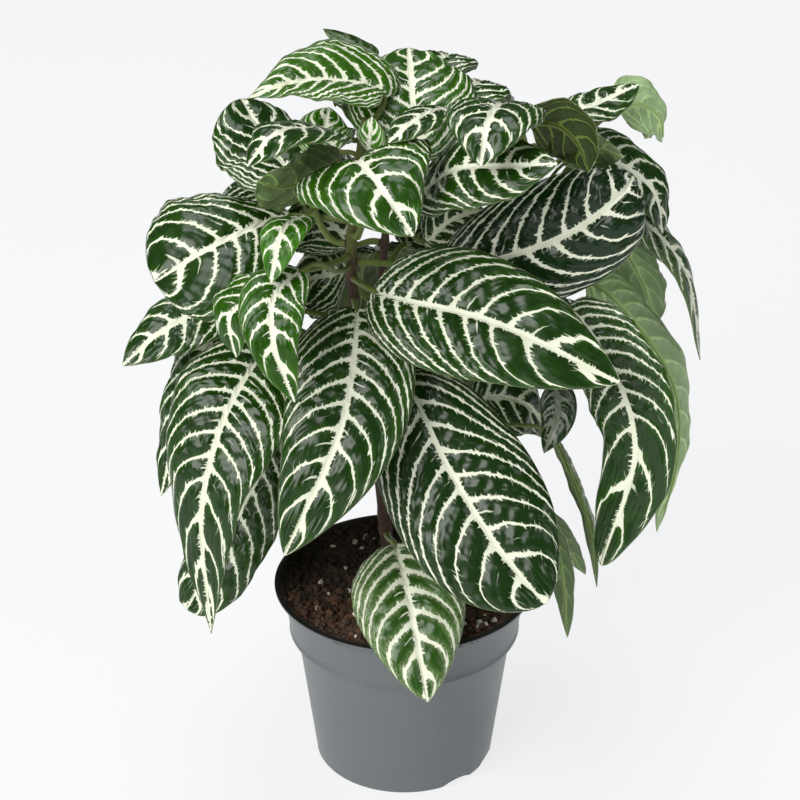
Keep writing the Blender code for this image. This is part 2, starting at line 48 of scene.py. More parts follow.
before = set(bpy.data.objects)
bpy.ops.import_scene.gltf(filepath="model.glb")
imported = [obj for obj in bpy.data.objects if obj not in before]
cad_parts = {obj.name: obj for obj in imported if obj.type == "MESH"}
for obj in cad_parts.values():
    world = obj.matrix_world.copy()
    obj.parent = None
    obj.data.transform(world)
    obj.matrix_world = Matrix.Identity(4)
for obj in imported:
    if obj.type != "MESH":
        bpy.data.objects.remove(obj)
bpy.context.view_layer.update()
POT_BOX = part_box("pot")
MM = 0.001

# Lengths are in millimetres and angles in degrees, apart from settings, lights and the floor, which
# are in metres and radians as Blender has them. Colours are in linear light.

# How finely leaves are built, and where their shape changes
PATH_STEPS = 16
PETIOLE_START = 3
TOUCHING_GAP = 0.3
LARGE_LEAF_LENGTH = 100
LARGE_COLUMNS, SMALL_COLUMNS = 44, 28
LEAST_HALF_WIDTH = 0.25
FULL_BEND_HALF_WIDTH = 12.0
WAVED_WIDTH = 45.0
FLUTTER_WIDTH = 60
QUILTED_WIDTH = 50
GROOVE_HALF_WIDTH = 1.7
VEIN_SPACING = 17
PETIOLE_WIDTH = 44
PETIOLE_MARKS, MIDRIB_MARKS = 12, 18
NODE_LENGTH = 2.4

# The pot's outline, as radius and height: up the outside, then down the inside below its lip
POT_FOOT = [(47.1, 0.0), (47.6, 0.25), (48.3, 1.2), (48.4, 2.5), (53.4, 41.0), (58.1, 76.8)]
POT_SHOULDER = [(58.6, 77.6), (59.4, 77.9), (61.0, 78.0), (61.8, 78.2), (62.3, 78.7), (62.4, 79.5)]
POT_COLLAR = [(62.0, 80.3), (62.2, 83.0), (65.2, 103.2), (65.8, 104.1), (67.0, 104.6)]
POT_INSIDE = [(60.3, 81.0), (59.6, 80.0), (57.4, 78.0), (56.5, 76.2), (47.0, 2.6), (46.4, 2.0)]
ARCH_WIDTH, ARCH_RISE, ARCH_DEPTH = 21.0, 3.4, 7.0
ARCH_RADIUS = 48.1
ARCH_BEARINGS = (37, 69, 217, 249)
LIP_FACE_DEPTH = 0.5
PEAT_LINE_DEPTH, PEAT_LINE_RADIUS = 6, 66.6
POT_GREY, POT_BLACK, POT_PEAT = 0, 1, 2

# The soil: its radius, how far out a crumb may reach, its faces, its thickness, and how fine, how
# soft and how high its clods and its crumbs are
SOIL_EDGE, CRUMB_LIMIT = 64.6, 65.6
SOIL_FACES = 150
SOIL_WALL = 4
UNEVENNESS = ((0.085, 1.0, 1.9), (0.42, 0.8, 0.9))

# Loose bits: how many shapes each kind has, and their least, most and usual size. The cluster of
# grains has the middle and the spread of its places
CRUMB_SHAPES, GRAIN_SHAPES = 5, 4
CRUMB_SIZES, GRAIN_SIZES, LEAST_SIZE = (0.4, 2.8, 0.8), (0.8, 2.0), 0.3
CLUSTER_GRAINS = 14
CLUSTER_X, CLUSTER_Y = (41, 5), (-43, 3)

# The soft lights: place, size and colour
LIGHTS = {
    "key": ((-1.65, -2.15, 2.15), 2.2, (1.0, 0.99, 0.97)),
    "top": ((-0.3, 0.5, 3.2), 1.8, (0.99, 0.995, 1.0)),
    "fill": ((2.2, -1.3, 1.5), 1.2, (0.95, 0.98, 1.0)),
}
LIT_PLACE = Vector((0, 0, 0.22))
FLOOR_SIZE = 40
SENSOR_WIDTH = 36

# Colours that no setting holds
# The darkest green and the darkest olive below are painted shade, for leaves that lie in shadow
SHADED_GREEN = (0.002, 0.018, 0.003)
MOTTLED_GREEN = (0.045, 0.145, 0.010)
HALO_GREEN = (0.46, 0.60, 0.30)
WARM_CREAM = (0.74, 0.80, 0.52)
RIM_GREEN = (0.20, 0.27, 0.09)
DRY_BROWN = (0.12, 0.05, 0.02)
MOTTLED_OLIVE = (0.085, 0.16, 0.035)
SHADED_OLIVE = (0.035, 0.055, 0.012)
PALE_UNDERSIDE = (0.48, 0.68, 0.35)
PALE_UNDER_VEIN = (0.66, 0.88, 0.40)
PALE_PETIOLE = (0.50, 0.68, 0.28)
PETIOLE_STREAK = (0.30, 0.33, 0.12)
BARK_STREAK = (0.17, 0.11, 0.07)
CORK_BROWN = (0.035, 0.02, 0.014)
SCUFF_GREY = (0.42, 0.44, 0.46)
PEAT_DUST = (0.06, 0.045, 0.035)
DRY_PEAT = (0.115, 0.070, 0.043)
GRAIN_STAIN = (0.26, 0.20, 0.15)
FLOOR_LIGHT = (0.985, 0.99, 1.0)

# The shoots of the stem: a route, and the radius at its foot and at its top
SHOOTS = {
    "main": ([(-8, 0, 62), (-8, 0, 104), (-11, -1, 150), (-16, -1, 200), (-22, 0, 250),
              (-27, 0, 290), (-25, 3, 330), (-19, 6, 372)], 3.8, 2.4),
    "right": ([(-11, -1, 150), (4, 10, 180), (24, 18, 222), (44, 22, 270), (58, 22, 315),
               (66, 20, 352)], 2.9, 2.0),
    "back": ([(-11, -1, 150), (-13, 12, 178), (-14, 26, 215), (-12, 36, 262), (-9, 42, 310),
              (-8, 44, 350)], 2.9, 2.0),
}

# What a leaf is where its row says nothing else
USUAL_LEAF = {"roll": 0, "twist": 0, "fold": 14, "droop": 40, "wave": 1.2, "base": 0.52,
              "taper": 0.85, "young": False, "veins": None, "crowding": 0.6, "tone": 0.0,
              "pale": 0.0, "plain": 0.0, "old": 0.0}


class Leaf:
    """One leaf, bent as its solid is.

    node is its height on its shoot, and base and taper shape its outline. veins is how many side
    veins stand on each side of the midrib, and crowding how much closer they are at the base.
    tone makes the green lighter or darker, and below nought its darkening is painted shade on a leaf
    that lies in shadow. pale mottles it, plain takes cream from the veins, and old browns the tip.
    """

    def __init__(self, name, shoot, node, midrib, width, **features):
        self.name = name
        self.shoot = shoot
        self.node = node
        self.midrib = [Vector(point) for point in midrib]
        self.width = width
        for feature, usual in USUAL_LEAF.items():
            setattr(self, feature, features.get(feature, usual))
        self.wave *= min(1, (width / WAVED_WIDTH) ** 2)
        self.length = sum((end - start).length for start, end in zip(self.midrib, self.midrib[1:]))
        self.veins = self.veins or max(4, round(1.5 + self.length / VEIN_SPACING))


LEAVES = [
    # The large leaves that hang in front
    Leaf("leaf_front_right", "main", 288, [(-16, -22, 291), (42, -48, 287), (106, -66, 262)], 66, roll=50,
         droop=30, veins=8.3, crowding=0.8),
    Leaf("leaf_front_low", "main", 236, [(-2, -24, 241), (23, -50, 203), (47, -72, 171), (71, -88, 147)],
         80, roll=42, taper=0.62, veins=8.5, crowding=0.7, tone=-0.2),
    Leaf("leaf_front_left", "main", 276, [(-24, -20, 280), (-30, -62, 241), (-60, -92, 178)], 66, roll=-20,
         veins=10),
    Leaf("leaf_front_lowest", "main", 138, [(-5, -25, 144), (4, -65, 126), (12, -92, 90)], 60, roll=10,
         pale=0.42, tone=0.05),
    Leaf("leaf_right_upper", "main", 296, [(18, 2, 292), (54, -6, 303), (87, -12, 321), (109, -8, 339),
         (115, 6, 341)], 64, roll=66, twist=10, droop=55, tone=-0.9),
    Leaf("leaf_right_low", "right", 262, [(84, -8, 274), (102, -24, 255), (117, -38, 220), (102, -48, 145)],
         56, roll=64, taper=0.62),
    # The left side
    Leaf("leaf_left_low", "main", 262, [(-68, -22, 258), (-86, -48, 243), (-100, -67, 204),
         (-99, -80, 124)], 66, roll=-20, twist=30, taper=1.0, veins=11.5, crowding=0.2),
    Leaf("leaf_left_under", "main", 205, [(-62, -4, 198), (-79, -8, 170), (-98, -16, 135),
         (-116, -24, 103)], 50, roll=-30, droop=60, taper=0.36, crowding=0.3, veins=8),
    Leaf("leaf_left_middle", "main", 318, [(-57, 9, 318), (-80, -12, 319), (-101, -27, 314),
         (-124, -35, 302)], 84, roll=-38, twist=26, droop=42, taper=0.42, base=0.85),
    Leaf("leaf_left_young_front", "main", 295, [(-50, -61, 321), (-63, -78, 314), (-63, -89, 297),
         (-53, -96, 267)], 33, droop=30, young=True),
    Leaf("leaf_left_young_back", "main", 300, [(-57, -50, 312), (-72, -62, 309), (-84, -71, 301),
         (-82, -74, 280)], 44, young=True),
    Leaf("leaf_left_bright", "main", 335, [(-48, -38, 340), (-59, -66, 343), (-64, -78, 322)], 24,
         young=True, tone=0.4),
    Leaf("leaf_left_far", "main", 266, [(-76, 6, 270), (-108, 4, 265), (-127, -3, 256), (-145, -10, 242)],
         38, roll=-32),
    # The top
    Leaf("leaf_top_left", "main", 306, [(-49, 3, 331), (-66, 29, 344), (-84, 55, 363)], 68, roll=8,
         taper=0.6),
    Leaf("leaf_top_rolled", "main", 362, [(-30, -8, 368), (-46, -30, 382), (-64, -52, 386),
         (-75, -60, 375)], 36),
    Leaf("leaf_top_under", "main", 346, [(-33, -3, 348), (-50, -18, 349), (-61, -26, 350), (-72, -32, 355)],
         50, roll=60, fold=-14, droop=-40, pale=0.14),
    Leaf("leaf_top_centre", "main", 312, [(-21, -15, 354), (-22, -40, 369), (-12, -62, 366), (4, -76, 346)],
         72, roll=15, tone=0.4),
    Leaf("leaf_top_arch", "main", 370, [(-10, 18, 378), (-37, 14, 389), (-61, 6, 389), (-79, -3, 386)], 52,
         roll=-20, fold=35, taper=1.6, tone=0.9, veins=8),
    Leaf("leaf_top_upright", "main", 358, [(5, 2, 357), (4, 24, 375), (3, 44, 384), (2, 62, 388)], 68,
         tone=0.5),
    Leaf("leaf_top_edge", "back", 349, [(-16, 60, 383), (-28, 75, 386), (-42, 84, 390)], 18, plain=0.9),
    Leaf("leaf_top_droop", "right", 336, [(50, -2, 381), (45, -26, 392), (39, -50, 391), (36, -62, 376)],
         50),
    Leaf("leaf_top_narrow", "right", 340, [(25, 5, 377), (12, -15, 384), (0, -30, 382), (-8, -36, 377)],
         26),
    Leaf("leaf_top_side", "main", 340, [(4, -14, 341), (28, -36, 364), (51, -46, 369), (73, -52, 373)], 46,
         roll=40),
    Leaf("leaf_top_back_left", "back", 340, [(12, 58, 377), (22, 74, 379), (30, 92, 362)], 38),
    Leaf("leaf_top_back_right", "right", 345, [(27, 28, 368), (36, 48, 374), (57, 71, 350)], 42),
    Leaf("leaf_top_young_left", "main", 352, [(-34, 18, 350), (-40, 28, 357), (-38, 36, 366)], 32,
         young=True, tone=0.45),
    Leaf("leaf_top_young_right", "main", 352, [(-18, -10, 361), (-17, -11, 369), (-16, -8, 379)], 22,
         young=True, tone=0.8),
    # The right side
    Leaf("leaf_right_dark", "right", 350, [(61, -4, 374), (75, -4, 373), (86, -8, 364), (91, -14, 352)], 38,
         roll=-80, tone=-0.8),
    Leaf("leaf_right_olive", "right", 330, [(80, 12, 345), (98, 12, 353), (109, 4, 353)], 24, roll=-70,
         pale=0.45),
    Leaf("leaf_right_top", "right", 345, [(81, 26, 364), (100, 38, 368), (120, 52, 372)], 29, roll=10),
    Leaf("leaf_right_pale", "right", 335, [(110, 54, 357), (122, 62, 356), (132, 66, 347), (134, 66, 334)],
         38, roll=-138, droop=25, pale=0.8),
    Leaf("leaf_right_back", "right", 322, [(90, 20, 346), (108, 32, 337), (128, 33, 320), (133, 26, 300)],
         42, roll=35),
    Leaf("leaf_right_hanging", "right", 310, [(93, 18, 318), (119, 30, 307), (145, 34, 277),
         (156, 24, 228)], 30, roll=22, pale=0.2),
    Leaf("leaf_right_pale_low", "right", 290, [(100, 30, 305), (120, 52, 273), (137, 66, 230)], 50,
         pale=0.8),
    Leaf("leaf_right_light", "right", 250, [(93, 12, 279), (119, 14, 254), (141, 8, 216), (143, 0, 184),
         (134, -7, 141)], 58, roll=180, fold=-14, droop=-40, pale=0.68),
    Leaf("leaf_right_small", "right", 236, [(77, -9, 232), (79, -18, 218), (72, -25, 199)], 20, plain=0.8,
         tone=-0.5),
    Leaf("leaf_right_narrow", "right", 200, [(78, 12, 190), (90, 16, 163), (100, 14, 134), (105, 8, 97)],
         30, roll=-25, pale=0.3),
    Leaf("leaf_right_inner", "right", 215, [(35, 28, 202), (51, 36, 199), (68, 44, 188), (78, 48, 168)], 44,
         roll=45),
    Leaf("leaf_low_back_right", "right", 186, [(64, 22, 148), (81, 34, 122), (91, 40, 101), (101, 42, 84)],
         26, roll=-25, pale=0.4, old=1.0),
    Leaf("leaf_low_right", "main", 148, [(67, 8, 153), (81, 13, 127), (87, 13, 98), (90, 10, 63)], 28,
         roll=-30, pale=0.42),
    # Leaves that show in the gaps between the others
    Leaf("leaf_inner_low", "main", 218, [(0, 6, 238), (20, -6, 227), (43, -13, 207)], 40),
    Leaf("leaf_inner_top", "main", 322, [(10, 14, 324), (22, 8, 342), (34, 3, 358)], 40),
    Leaf("leaf_left_tip", "main", 248, [(-90, 12, 262), (-112, -6, 222), (-127, -22, 172)], 44),
    Leaf("leaf_inner_left", "back", 258, [(-30, 33, 274), (-40, 34, 272), (-53, 37, 267), (-63, 37, 253)],
         52, roll=-25),
    Leaf("leaf_inner_right", "back", 272, [(0, 66, 275), (16, 74, 272), (32, 78, 250)], 44),
    Leaf("leaf_inner_high", "back", 288, [(-28, 49, 283), (-39, 56, 292), (-55, 62, 294), (-66, 64, 285)],
         54, roll=-15),
    Leaf("leaf_inner_middle", "back", 300, [(10, 46, 286), (24, 48, 297), (42, 52, 302)], 42, roll=25),
    # The back, which the photograph doesn't show
    Leaf("leaf_back_top", "back", 328, [(-10, 64, 356), (-12, 94, 348), (-14, 116, 314)], 54),
    Leaf("leaf_back_left_high", "back", 310, [(-32, 64, 318), (-64, 92, 306), (-86, 110, 268)], 58),
    Leaf("leaf_back_right_high", "back", 306, [(2, 62, 290), (19, 88, 276), (35, 108, 245)], 60),
    Leaf("leaf_back_middle", "back", 268, [(-14, 62, 272), (-22, 100, 250), (-26, 122, 198)], 66),
    Leaf("leaf_back_right_low", "back", 222, [(12, 54, 222), (38, 90, 196), (52, 110, 142)], 64),
    Leaf("leaf_back_left_low", "back", 215, [(-36, 46, 218), (-68, 72, 194), (-90, 88, 140)], 62),
    Leaf("leaf_left_back", "main", 228, [(-50, 16, 232), (-90, 36, 214), (-120, 48, 164)], 60),
    Leaf("leaf_right_behind", "right", 240, [(62, 40, 250), (96, 66, 236), (116, 82, 182)], 62),
    Leaf("leaf_left_back_high", "main", 326, [(-50, 30, 323), (-84, 44, 319), (-112, 50, 288)], 54),
    Leaf("leaf_back_lowest", "back", 192, [(-14, 34, 172), (-16, 74, 156), (-18, 98, 116)], 56),
]


def smooth_path(points, steps):
    """Points along a smooth curve through the given ones, with this many steps to a stretch."""
    lengths = [(end - start).length for start, end in zip(points, points[1:])]
    slopes = [(end - start).normalized() for start, end in zip(points, points[1:])]
    tangents = [slopes[0]]
    for index in range(1, len(slopes)):
        share = lengths[index - 1] / (lengths[index - 1] + lengths[index])
        tangents.append(slopes[index - 1].lerp(slopes[index], share))
    tangents.append(slopes[-1])
    path = []
    for index, length in enumerate(lengths):
        start, end = points[index], points[index + 1]
        handle_out = start + tangents[index] * length / 3
        handle_in = end - tangents[index + 1] * length / 3
        path += interpolate_bezier(start, handle_out, handle_in, end, steps + 1)[:-1]
    path.append(points[-1].copy())
    return path


def shoot_path(shoot):
    """The middle line of a shoot, in millimetres."""
    return smooth_path([Vector(point) for point in SHOOTS[shoot][0]], PATH_STEPS)


def node_on_shoot(shoot, height):
    """The middle, direction and radius of a shoot at a height."""
    path = shoot_path(shoot)
    foot_radius, top_radius = SHOOTS[shoot][1:]
    for index, (low, high) in enumerate(zip(path, path[1:])):
        if low.z <= height <= high.z:
            share = index / (len(path) - 1)
            middle = low.lerp(high, (height - low.z) / (high.z - low.z))
            return middle, (high - low).normalized(), foot_radius + (top_radius - foot_radius) * share
    raise ValueError(f"no point of the {shoot} shoot is {height} mm high")


def across(direction, tangent):
    """The direction with its share along the tangent taken out."""
    return (direction - tangent * direction.dot(tangent)).normalized()


def leaf_frames(leaf):
    """The leaf's middle line with its tangent, side and upper direction, and where the blade starts."""
    middle, shoot_tangent, radius = node_on_shoot(leaf.shoot, leaf.node)
    outward = leaf.midrib[0] - middle
    outward.z = 0
    outward = across(outward, shoot_tangent)
    foot = middle + outward * (radius + TOUCHING_GAP)
    path = smooth_path([foot, foot + outward * PETIOLE_START] + leaf.midrib, PATH_STEPS)
    blade_start = 2 * PATH_STEPS
    tangents = [(path[1] - path[0]).normalized()]
    for before, after in zip(path, path[2:]):
        tangents.append((after - before).normalized())
    tangents.append((path[-1] - path[-2]).normalized())
    reach = leaf.midrib[-1] - leaf.midrib[0]
    start_side = Vector((reach.x, reach.y, 0)).normalized().cross(Vector((0, 0, 1)))
    halfway = (blade_start + len(path)) // 2
    sides = [None] * len(path)
    sides[halfway] = across(start_side, tangents[halfway])
    for index in range(halfway + 1, len(path)):
        sides[index] = across(sides[index - 1], tangents[index])
    for index in range(halfway - 1, -1, -1):
        sides[index] = across(sides[index + 1], tangents[index])
    frames = []
    for index, (point, tangent, side) in enumerate(zip(path, tangents, sides)):
        if index < blade_start:
            turn = leaf.roll * index / blade_start
        else:
            turn = leaf.roll + leaf.twist * (index - blade_start) / (len(path) - 1 - blade_start)
        side = Matrix.Rotation(math.radians(turn), 3, tangent) @ side
        frames.append((*point, *side, *side.cross(tangent)))
    return np.array(frames), blade_start


class Value:
    """A number in a shader, which can be used in sums as a plain number can."""

    def __init__(self, finish, socket):
        self.finish = finish
        self.socket = socket

    def math(self, operation, *others, clamp=False):
        node = self.finish.node("Math", {"operation": operation, "use_clamp": clamp})
        for place, value in zip(node.inputs, (self, *others)):
            self.finish.feed(place, value)
        return Value(self.finish, node.outputs[0])

    __add__ = __radd__ = partialmethod(math, "ADD")
    __mul__ = __rmul__ = partialmethod(math, "MULTIPLY")
    __sub__ = partialmethod(math, "SUBTRACT")
    __truediv__ = partialmethod(math, "DIVIDE")
    __abs__ = partialmethod(math, "ABSOLUTE")
    fraction = partialmethod(math, "FRACT")
    clamped = partialmethod(math, "ADD", 0, clamp=True)
    most = partialmethod(math, "MAXIMUM")
    least = partialmethod(math, "MINIMUM")

    def __rsub__(self, other):
        return (self * -1) + other

    def __rtruediv__(self, other):
        return self.math("POWER", -1) * other

    def step(self, low, high, at_low=0.0, at_high=1.0):
        """Eases from one number to another while this value goes from low to high."""
        node = self.finish.node("MapRange", {"interpolation_type": "SMOOTHSTEP", "clamp": True},
                                Value=self, From_Min=low, From_Max=high, To_Min=at_low, To_Max=at_high)
        return Value(self.finish, node.outputs["Result"])


class Finish:
    """A material under construction. Its patterns lie on Object coordinates or on stored places."""

    def __init__(self, name, stored=None):
        self.material = bpy.data.materials.new(name)
        self.material.use_nodes = True
        self.tree = self.material.node_tree
        if stored:
            self.place = self.node("Attribute", {"attribute_name": stored}).outputs["Vector"]
        else:
            self.place = self.node("TexCoord").outputs["Object"]

    def node(self, kind, settings=None, **sockets):
        """A shader node with its settings made first and then the values or links of its sockets."""
        node = self.tree.nodes.new("ShaderNode" + kind)
        for name, value in (settings or {}).items():
            setattr(node, name, value)
        return self.feed_all(node, sockets)

    def feed_all(self, node, sockets):
        """Feed a node's sockets by name, with _ in a name for a space."""
        for name, value in sockets.items():
            self.feed(node.inputs[name.replace("_", " ")], value)
        return node

    def feed(self, socket, value):
        """Link a value or an output to a socket, or set the number or colour on it."""
        if isinstance(value, Value):
            value = value.socket
        if isinstance(value, bpy.types.NodeSocket):
            self.tree.links.new(value, socket)
        elif socket.type == "RGBA":
            socket.default_value = (*value[:3], 1)
        else:
            socket.default_value = value

    def attribute(self, name):
        """A number that is stored with the piece's mesh."""
        return Value(self, self.node("Attribute", {"attribute_name": name}).outputs["Fac"])

    def part(self, axis):
        """How far along an axis each place lies."""
        return Value(self, self.node("SeparateXYZ", Vector=self.place).outputs[axis])

    def noise(self, scale, detail=2.0, roughness=0.5, place=None):
        """A cloudy pattern from 0 to 1. Its scale is one number, or one along each axis."""
        place = place or self.place
        if isinstance(scale, tuple):
            stretch = self.node("VectorMath", {"operation": "MULTIPLY"})
            self.feed(stretch.inputs[0], place)
            self.feed(stretch.inputs[1], scale)
            place, scale = stretch.outputs[0], 1.0
        node = self.node("TexNoise", Vector=place, Scale=scale, Detail=detail, Roughness=roughness)
        return Value(self, node.outputs["Fac"])

    def noise_on(self, numbers, detail, roughness=0.5):
        """The same pattern on a place made of three numbers."""
        place = self.node("CombineXYZ", **dict(zip("XYZ", numbers))).outputs[0]
        return self.noise(1.0, detail, roughness, place)

    def cells(self, scale):
        """How far each place is from the middle of the cell that it lies in."""
        return Value(self, self.node("TexVoronoi", Vector=self.place, Scale=scale).outputs["Distance"])

    def mix(self, factor, first, second):
        """A colour between two colours."""
        node = self.node("Mix", {"data_type": "RGBA"}, Factor=factor)
        self.feed(node.inputs[6], first)
        self.feed(node.inputs[7], second)
        return node.outputs[2]

    def surface(self, colour, roughness, relief=None, depth=0.0, strength=0.0, **sockets):
        """Feed the Principled shader, with a bump where there is a relief, and give the material."""
        if relief:
            bump = self.node("Bump", Height=relief, Distance=depth, Strength=strength)
            sockets["Normal"] = bump.outputs[0]
        shader = self.tree.nodes["Principled BSDF"]
        self.feed_all(shader, {"Base Color": colour, "Roughness": roughness, **sockets})
        return self.material


def colour_property(name, description, default):
    return bpy.props.FloatVectorProperty(name=name, description=description, default=default,
                                         subtype="COLOR", size=3, min=0, max=1)


def length_property(name, description, default):
    return bpy.props.FloatProperty(name=name, description=description, default=default,
                                   unit="LENGTH", min=0)


def number_property(name, description, default, least=0):
    return bpy.props.FloatProperty(name=name, description=description, default=default, min=least)


def count_property(name, description, default, least=0):
    return bpy.props.IntProperty(name=name, description=description, default=default, min=least)


class LeafSettings(bpy.types.PropertyGroup):
    blade_thickness: length_property("Blade thickness", "Thickness of a leaf's blade", 0.0005)
    quilting: length_property("Quilting", "How far the blade puffs up between side veins", 0.0015)
    midrib_groove: length_property("Midrib groove", "Depth of the groove over the midrib", 0.0005)
    petiole_radius: length_property("Petiole radius", "Radius of a petiole", 0.0020)
    large_rows: count_property("Rows on a large leaf", "Rows of faces along a large blade", 110, 20)
    small_rows: count_property("Rows on a small leaf", "Rows of faces along a small blade", 64, 12)
    green: colour_property("Green", "Upper side of a grown leaf", (0.008, 0.035, 0.0015))
    bright_green: colour_property("Bright green", "Upper side beside the veins", (0.038, 0.135, 0.003))
    young_green: colour_property("Young green", "Upper side of a young leaf", (0.016, 0.066, 0.001))
    cream: colour_property("Cream", "Midrib and side veins", (0.88, 0.91, 0.74))
    under_olive: colour_property("Under olive", "Underside", (0.055, 0.085, 0.018))
    under_vein: colour_property("Under vein", "Veins of the underside", (0.20, 0.30, 0.055))
    petiole_green: colour_property("Petiole green", "Petiole and midrib below", (0.125, 0.175, 0.030))
    petiole_red: colour_property("Petiole red", "Petiole near the stem", (0.16, 0.06, 0.035))


class StemSettings(bpy.types.PropertyGroup):
    node_swelling: length_property("Node swelling", "How far a node stands out", 0.0006)
    bark: colour_property("Bark", "Bark of the old stem", (0.055, 0.028, 0.018))
    green_bark: colour_property("Green bark", "Bark of the young shoots", (0.10, 0.125, 0.022))


class PotSettings(bpy.types.PropertyGroup):
    sides: count_property("Sides", "Faces round the pot", 128, 24)
    grey: colour_property("Grey", "Outside of the pot", (0.122, 0.136, 0.142))
    black: colour_property("Black", "Lip and inside of the pot", (0.012, 0.012, 0.013))
    lip_radius: length_property("Lip radius", "Radius of the lip", POT_BOX[1].x)
    height: length_property("Height", "Height of the pot", POT_BOX[1].z)


class SoilSettings(bpy.types.PropertyGroup):
    level: length_property("Level", "Height of the soil's edge", 0.1055)
    mound: length_property("Mound", "How much higher the middle is", 0.0012)
    crumbs: count_property("Crumbs", "Loose crumbs of peat", 1500)
    grains: count_property("Grains", "White grains of perlite", 56)
    seed: count_property("Seed", "Seed of the scatter", 7)
    peat: colour_property("Peat", "Dark peat", (0.020, 0.013, 0.009))
    bark_red: colour_property("Bark red", "Reddish crumbs", (0.150, 0.066, 0.036))
    perlite: colour_property("Perlite", "White grains", (0.78, 0.73, 0.64))


class StudioSettings(bpy.types.PropertyGroup):
    floor_colour: colour_property("Floor", "Colour of the floor", (0.18, 0.18, 0.184))
    floor_glow: number_property("Floor glow", "Light that the floor gives of itself", 0.785)
    sky: number_property("Sky", "Strength of the even light", 0.10)
    key: number_property("Key", "Power of the key light", 98.0)
    top: number_property("Top", "Power of the top light", 44.0)
    fill: number_property("Fill", "Power of the fill light", 10.0)
    camera_place: bpy.props.FloatVectorProperty(
        name="Camera place", description="Where the camera stands", default=(-0.0023, -1.273, 0.903),
        subtype="TRANSLATION", unit="LENGTH")
    camera_pitch: bpy.props.FloatProperty(name="Camera pitch", description="Tilt of the camera",
                                          default=math.radians(61.67), unit="ROTATION")
    lens: number_property("Lens", "Focal length in millimetres", 124.9, 1)


def select_only(*pieces):
    """Select these objects alone and make the first one active."""
    bpy.ops.object.select_all(action="DESELECT")
    for piece in pieces:
        piece.select_set(True)
    bpy.context.view_layer.objects.active = pieces[0]


def added(name, operator, **settings):
    """An object that one of Blender's operators adds, named, and selected alone."""
    bpy.ops.object.select_all(action="DESELECT")
    operator(**settings)
    bpy.context.object.name = name
    return bpy.context.object


def settle(pieces, slot, *nodes):
    """Join pieces to the first one, fix it in the frame, and hide the solids it stands for."""
    piece = pieces[0]
    select_only(*pieces)
    if len(pieces) > 1:
        bpy.ops.object.join()
    bpy.ops.object.transform_apply(location=True, rotation=True, scale=True)
    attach(piece, "root")
    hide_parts(*nodes)


def apply_modifiers(piece):
    """Turn a piece's modifiers into mesh, in order."""
    select_only(piece)
    for modifier in list(piece.modifiers):
        bpy.ops.object.modifier_apply(modifier=modifier.name)


def thicken(piece, thickness, **settings):
    """Give a sheet its thickness below, and smooth it."""
    wall = piece.modifiers.new("wall", "SOLIDIFY")
    wall.thickness = thickness
    wall.offset = -1
    for name, value in settings.items():
        setattr(wall, name, value)
    apply_modifiers(piece)
    bpy.ops.object.shade_smooth()


def store(piece, name, values):
    """Keep a number or a place on each of a piece's points for its material."""
    values = np.asarray(values, np.float32)
    kind, key = ("FLOAT_VECTOR", "vector") if values.ndim == 3 else ("FLOAT", "value")
    attribute = piece.data.attributes.new(name, kind, "POINT")
    attribute.data.foreach_set(key, values.ravel())


def grid_piece(name, places):
    """A sheet of faces whose points lie at the places, row by row."""
    rows, columns = places.shape[:2]
    piece = added(name, bpy.ops.mesh.primitive_grid_add, x_subdivisions=columns - 1,
                  y_subdivisions=rows - 1, size=1)
    piece.data.name = name
    piece.data.vertices.foreach_set("co", (places * MM).astype(np.float32).ravel())
    piece.data.update()
    return piece


def tube_piece(name, line, radii, around, material):
    """A smooth round tube along a line of places, closed at both ends."""
    curve = bpy.data.curves.new(name, "CURVE")
    curve.dimensions = "3D"
    curve.bevel_depth = MM
    curve.bevel_resolution = around
    curve.use_fill_caps = True
    spline = curve.splines.new("POLY")
    spline.points.add(len(line) - 1)
    for point, place, radius in zip(spline.points, line, radii):
        point.co = (*(np.asarray(place) * MM), 1)
        point.radius = radius
    piece = bpy.data.objects.new(name, curve)
    bpy.context.scene.collection.objects.link(piece)
    select_only(piece)
    bpy.ops.object.convert(target="MESH")
    piece = bpy.context.object
    places = np.zeros(len(piece.data.vertices) * 3, np.float32)
    piece.data.vertices.foreach_get("co", places)
    places = places.reshape(-1, 3) / MM
    nearest = np.argmin(((places[:, None] - np.asarray(line)[None]) ** 2).sum(2), 1)
    store(piece, "stalk", nearest / (len(line) - 1))
    bpy.ops.object.mode_set(mode="EDIT")
    bpy.ops.mesh.select_all(action="SELECT")
    bpy.ops.mesh.remove_doubles(threshold=0.00001)
    bpy.ops.mesh.normals_make_consistent(inside=False)
    bpy.ops.object.mode_set(mode="OBJECT")
    bpy.ops.object.shade_smooth()
    piece.data.materials.append(material)
    return piece


def half_widths(leaf, along):
    """Half the blade's width at each share of its length."""
    peak = leaf.base / (leaf.base + leaf.taper)
    highest = peak ** leaf.base * (1 - peak) ** leaf.taper
    shape = along ** leaf.base * np.clip(1 - along, 0, 1) ** leaf.taper / highest
    return np.maximum(leaf.width / 2 * shape, LEAST_HALF_WIDTH)


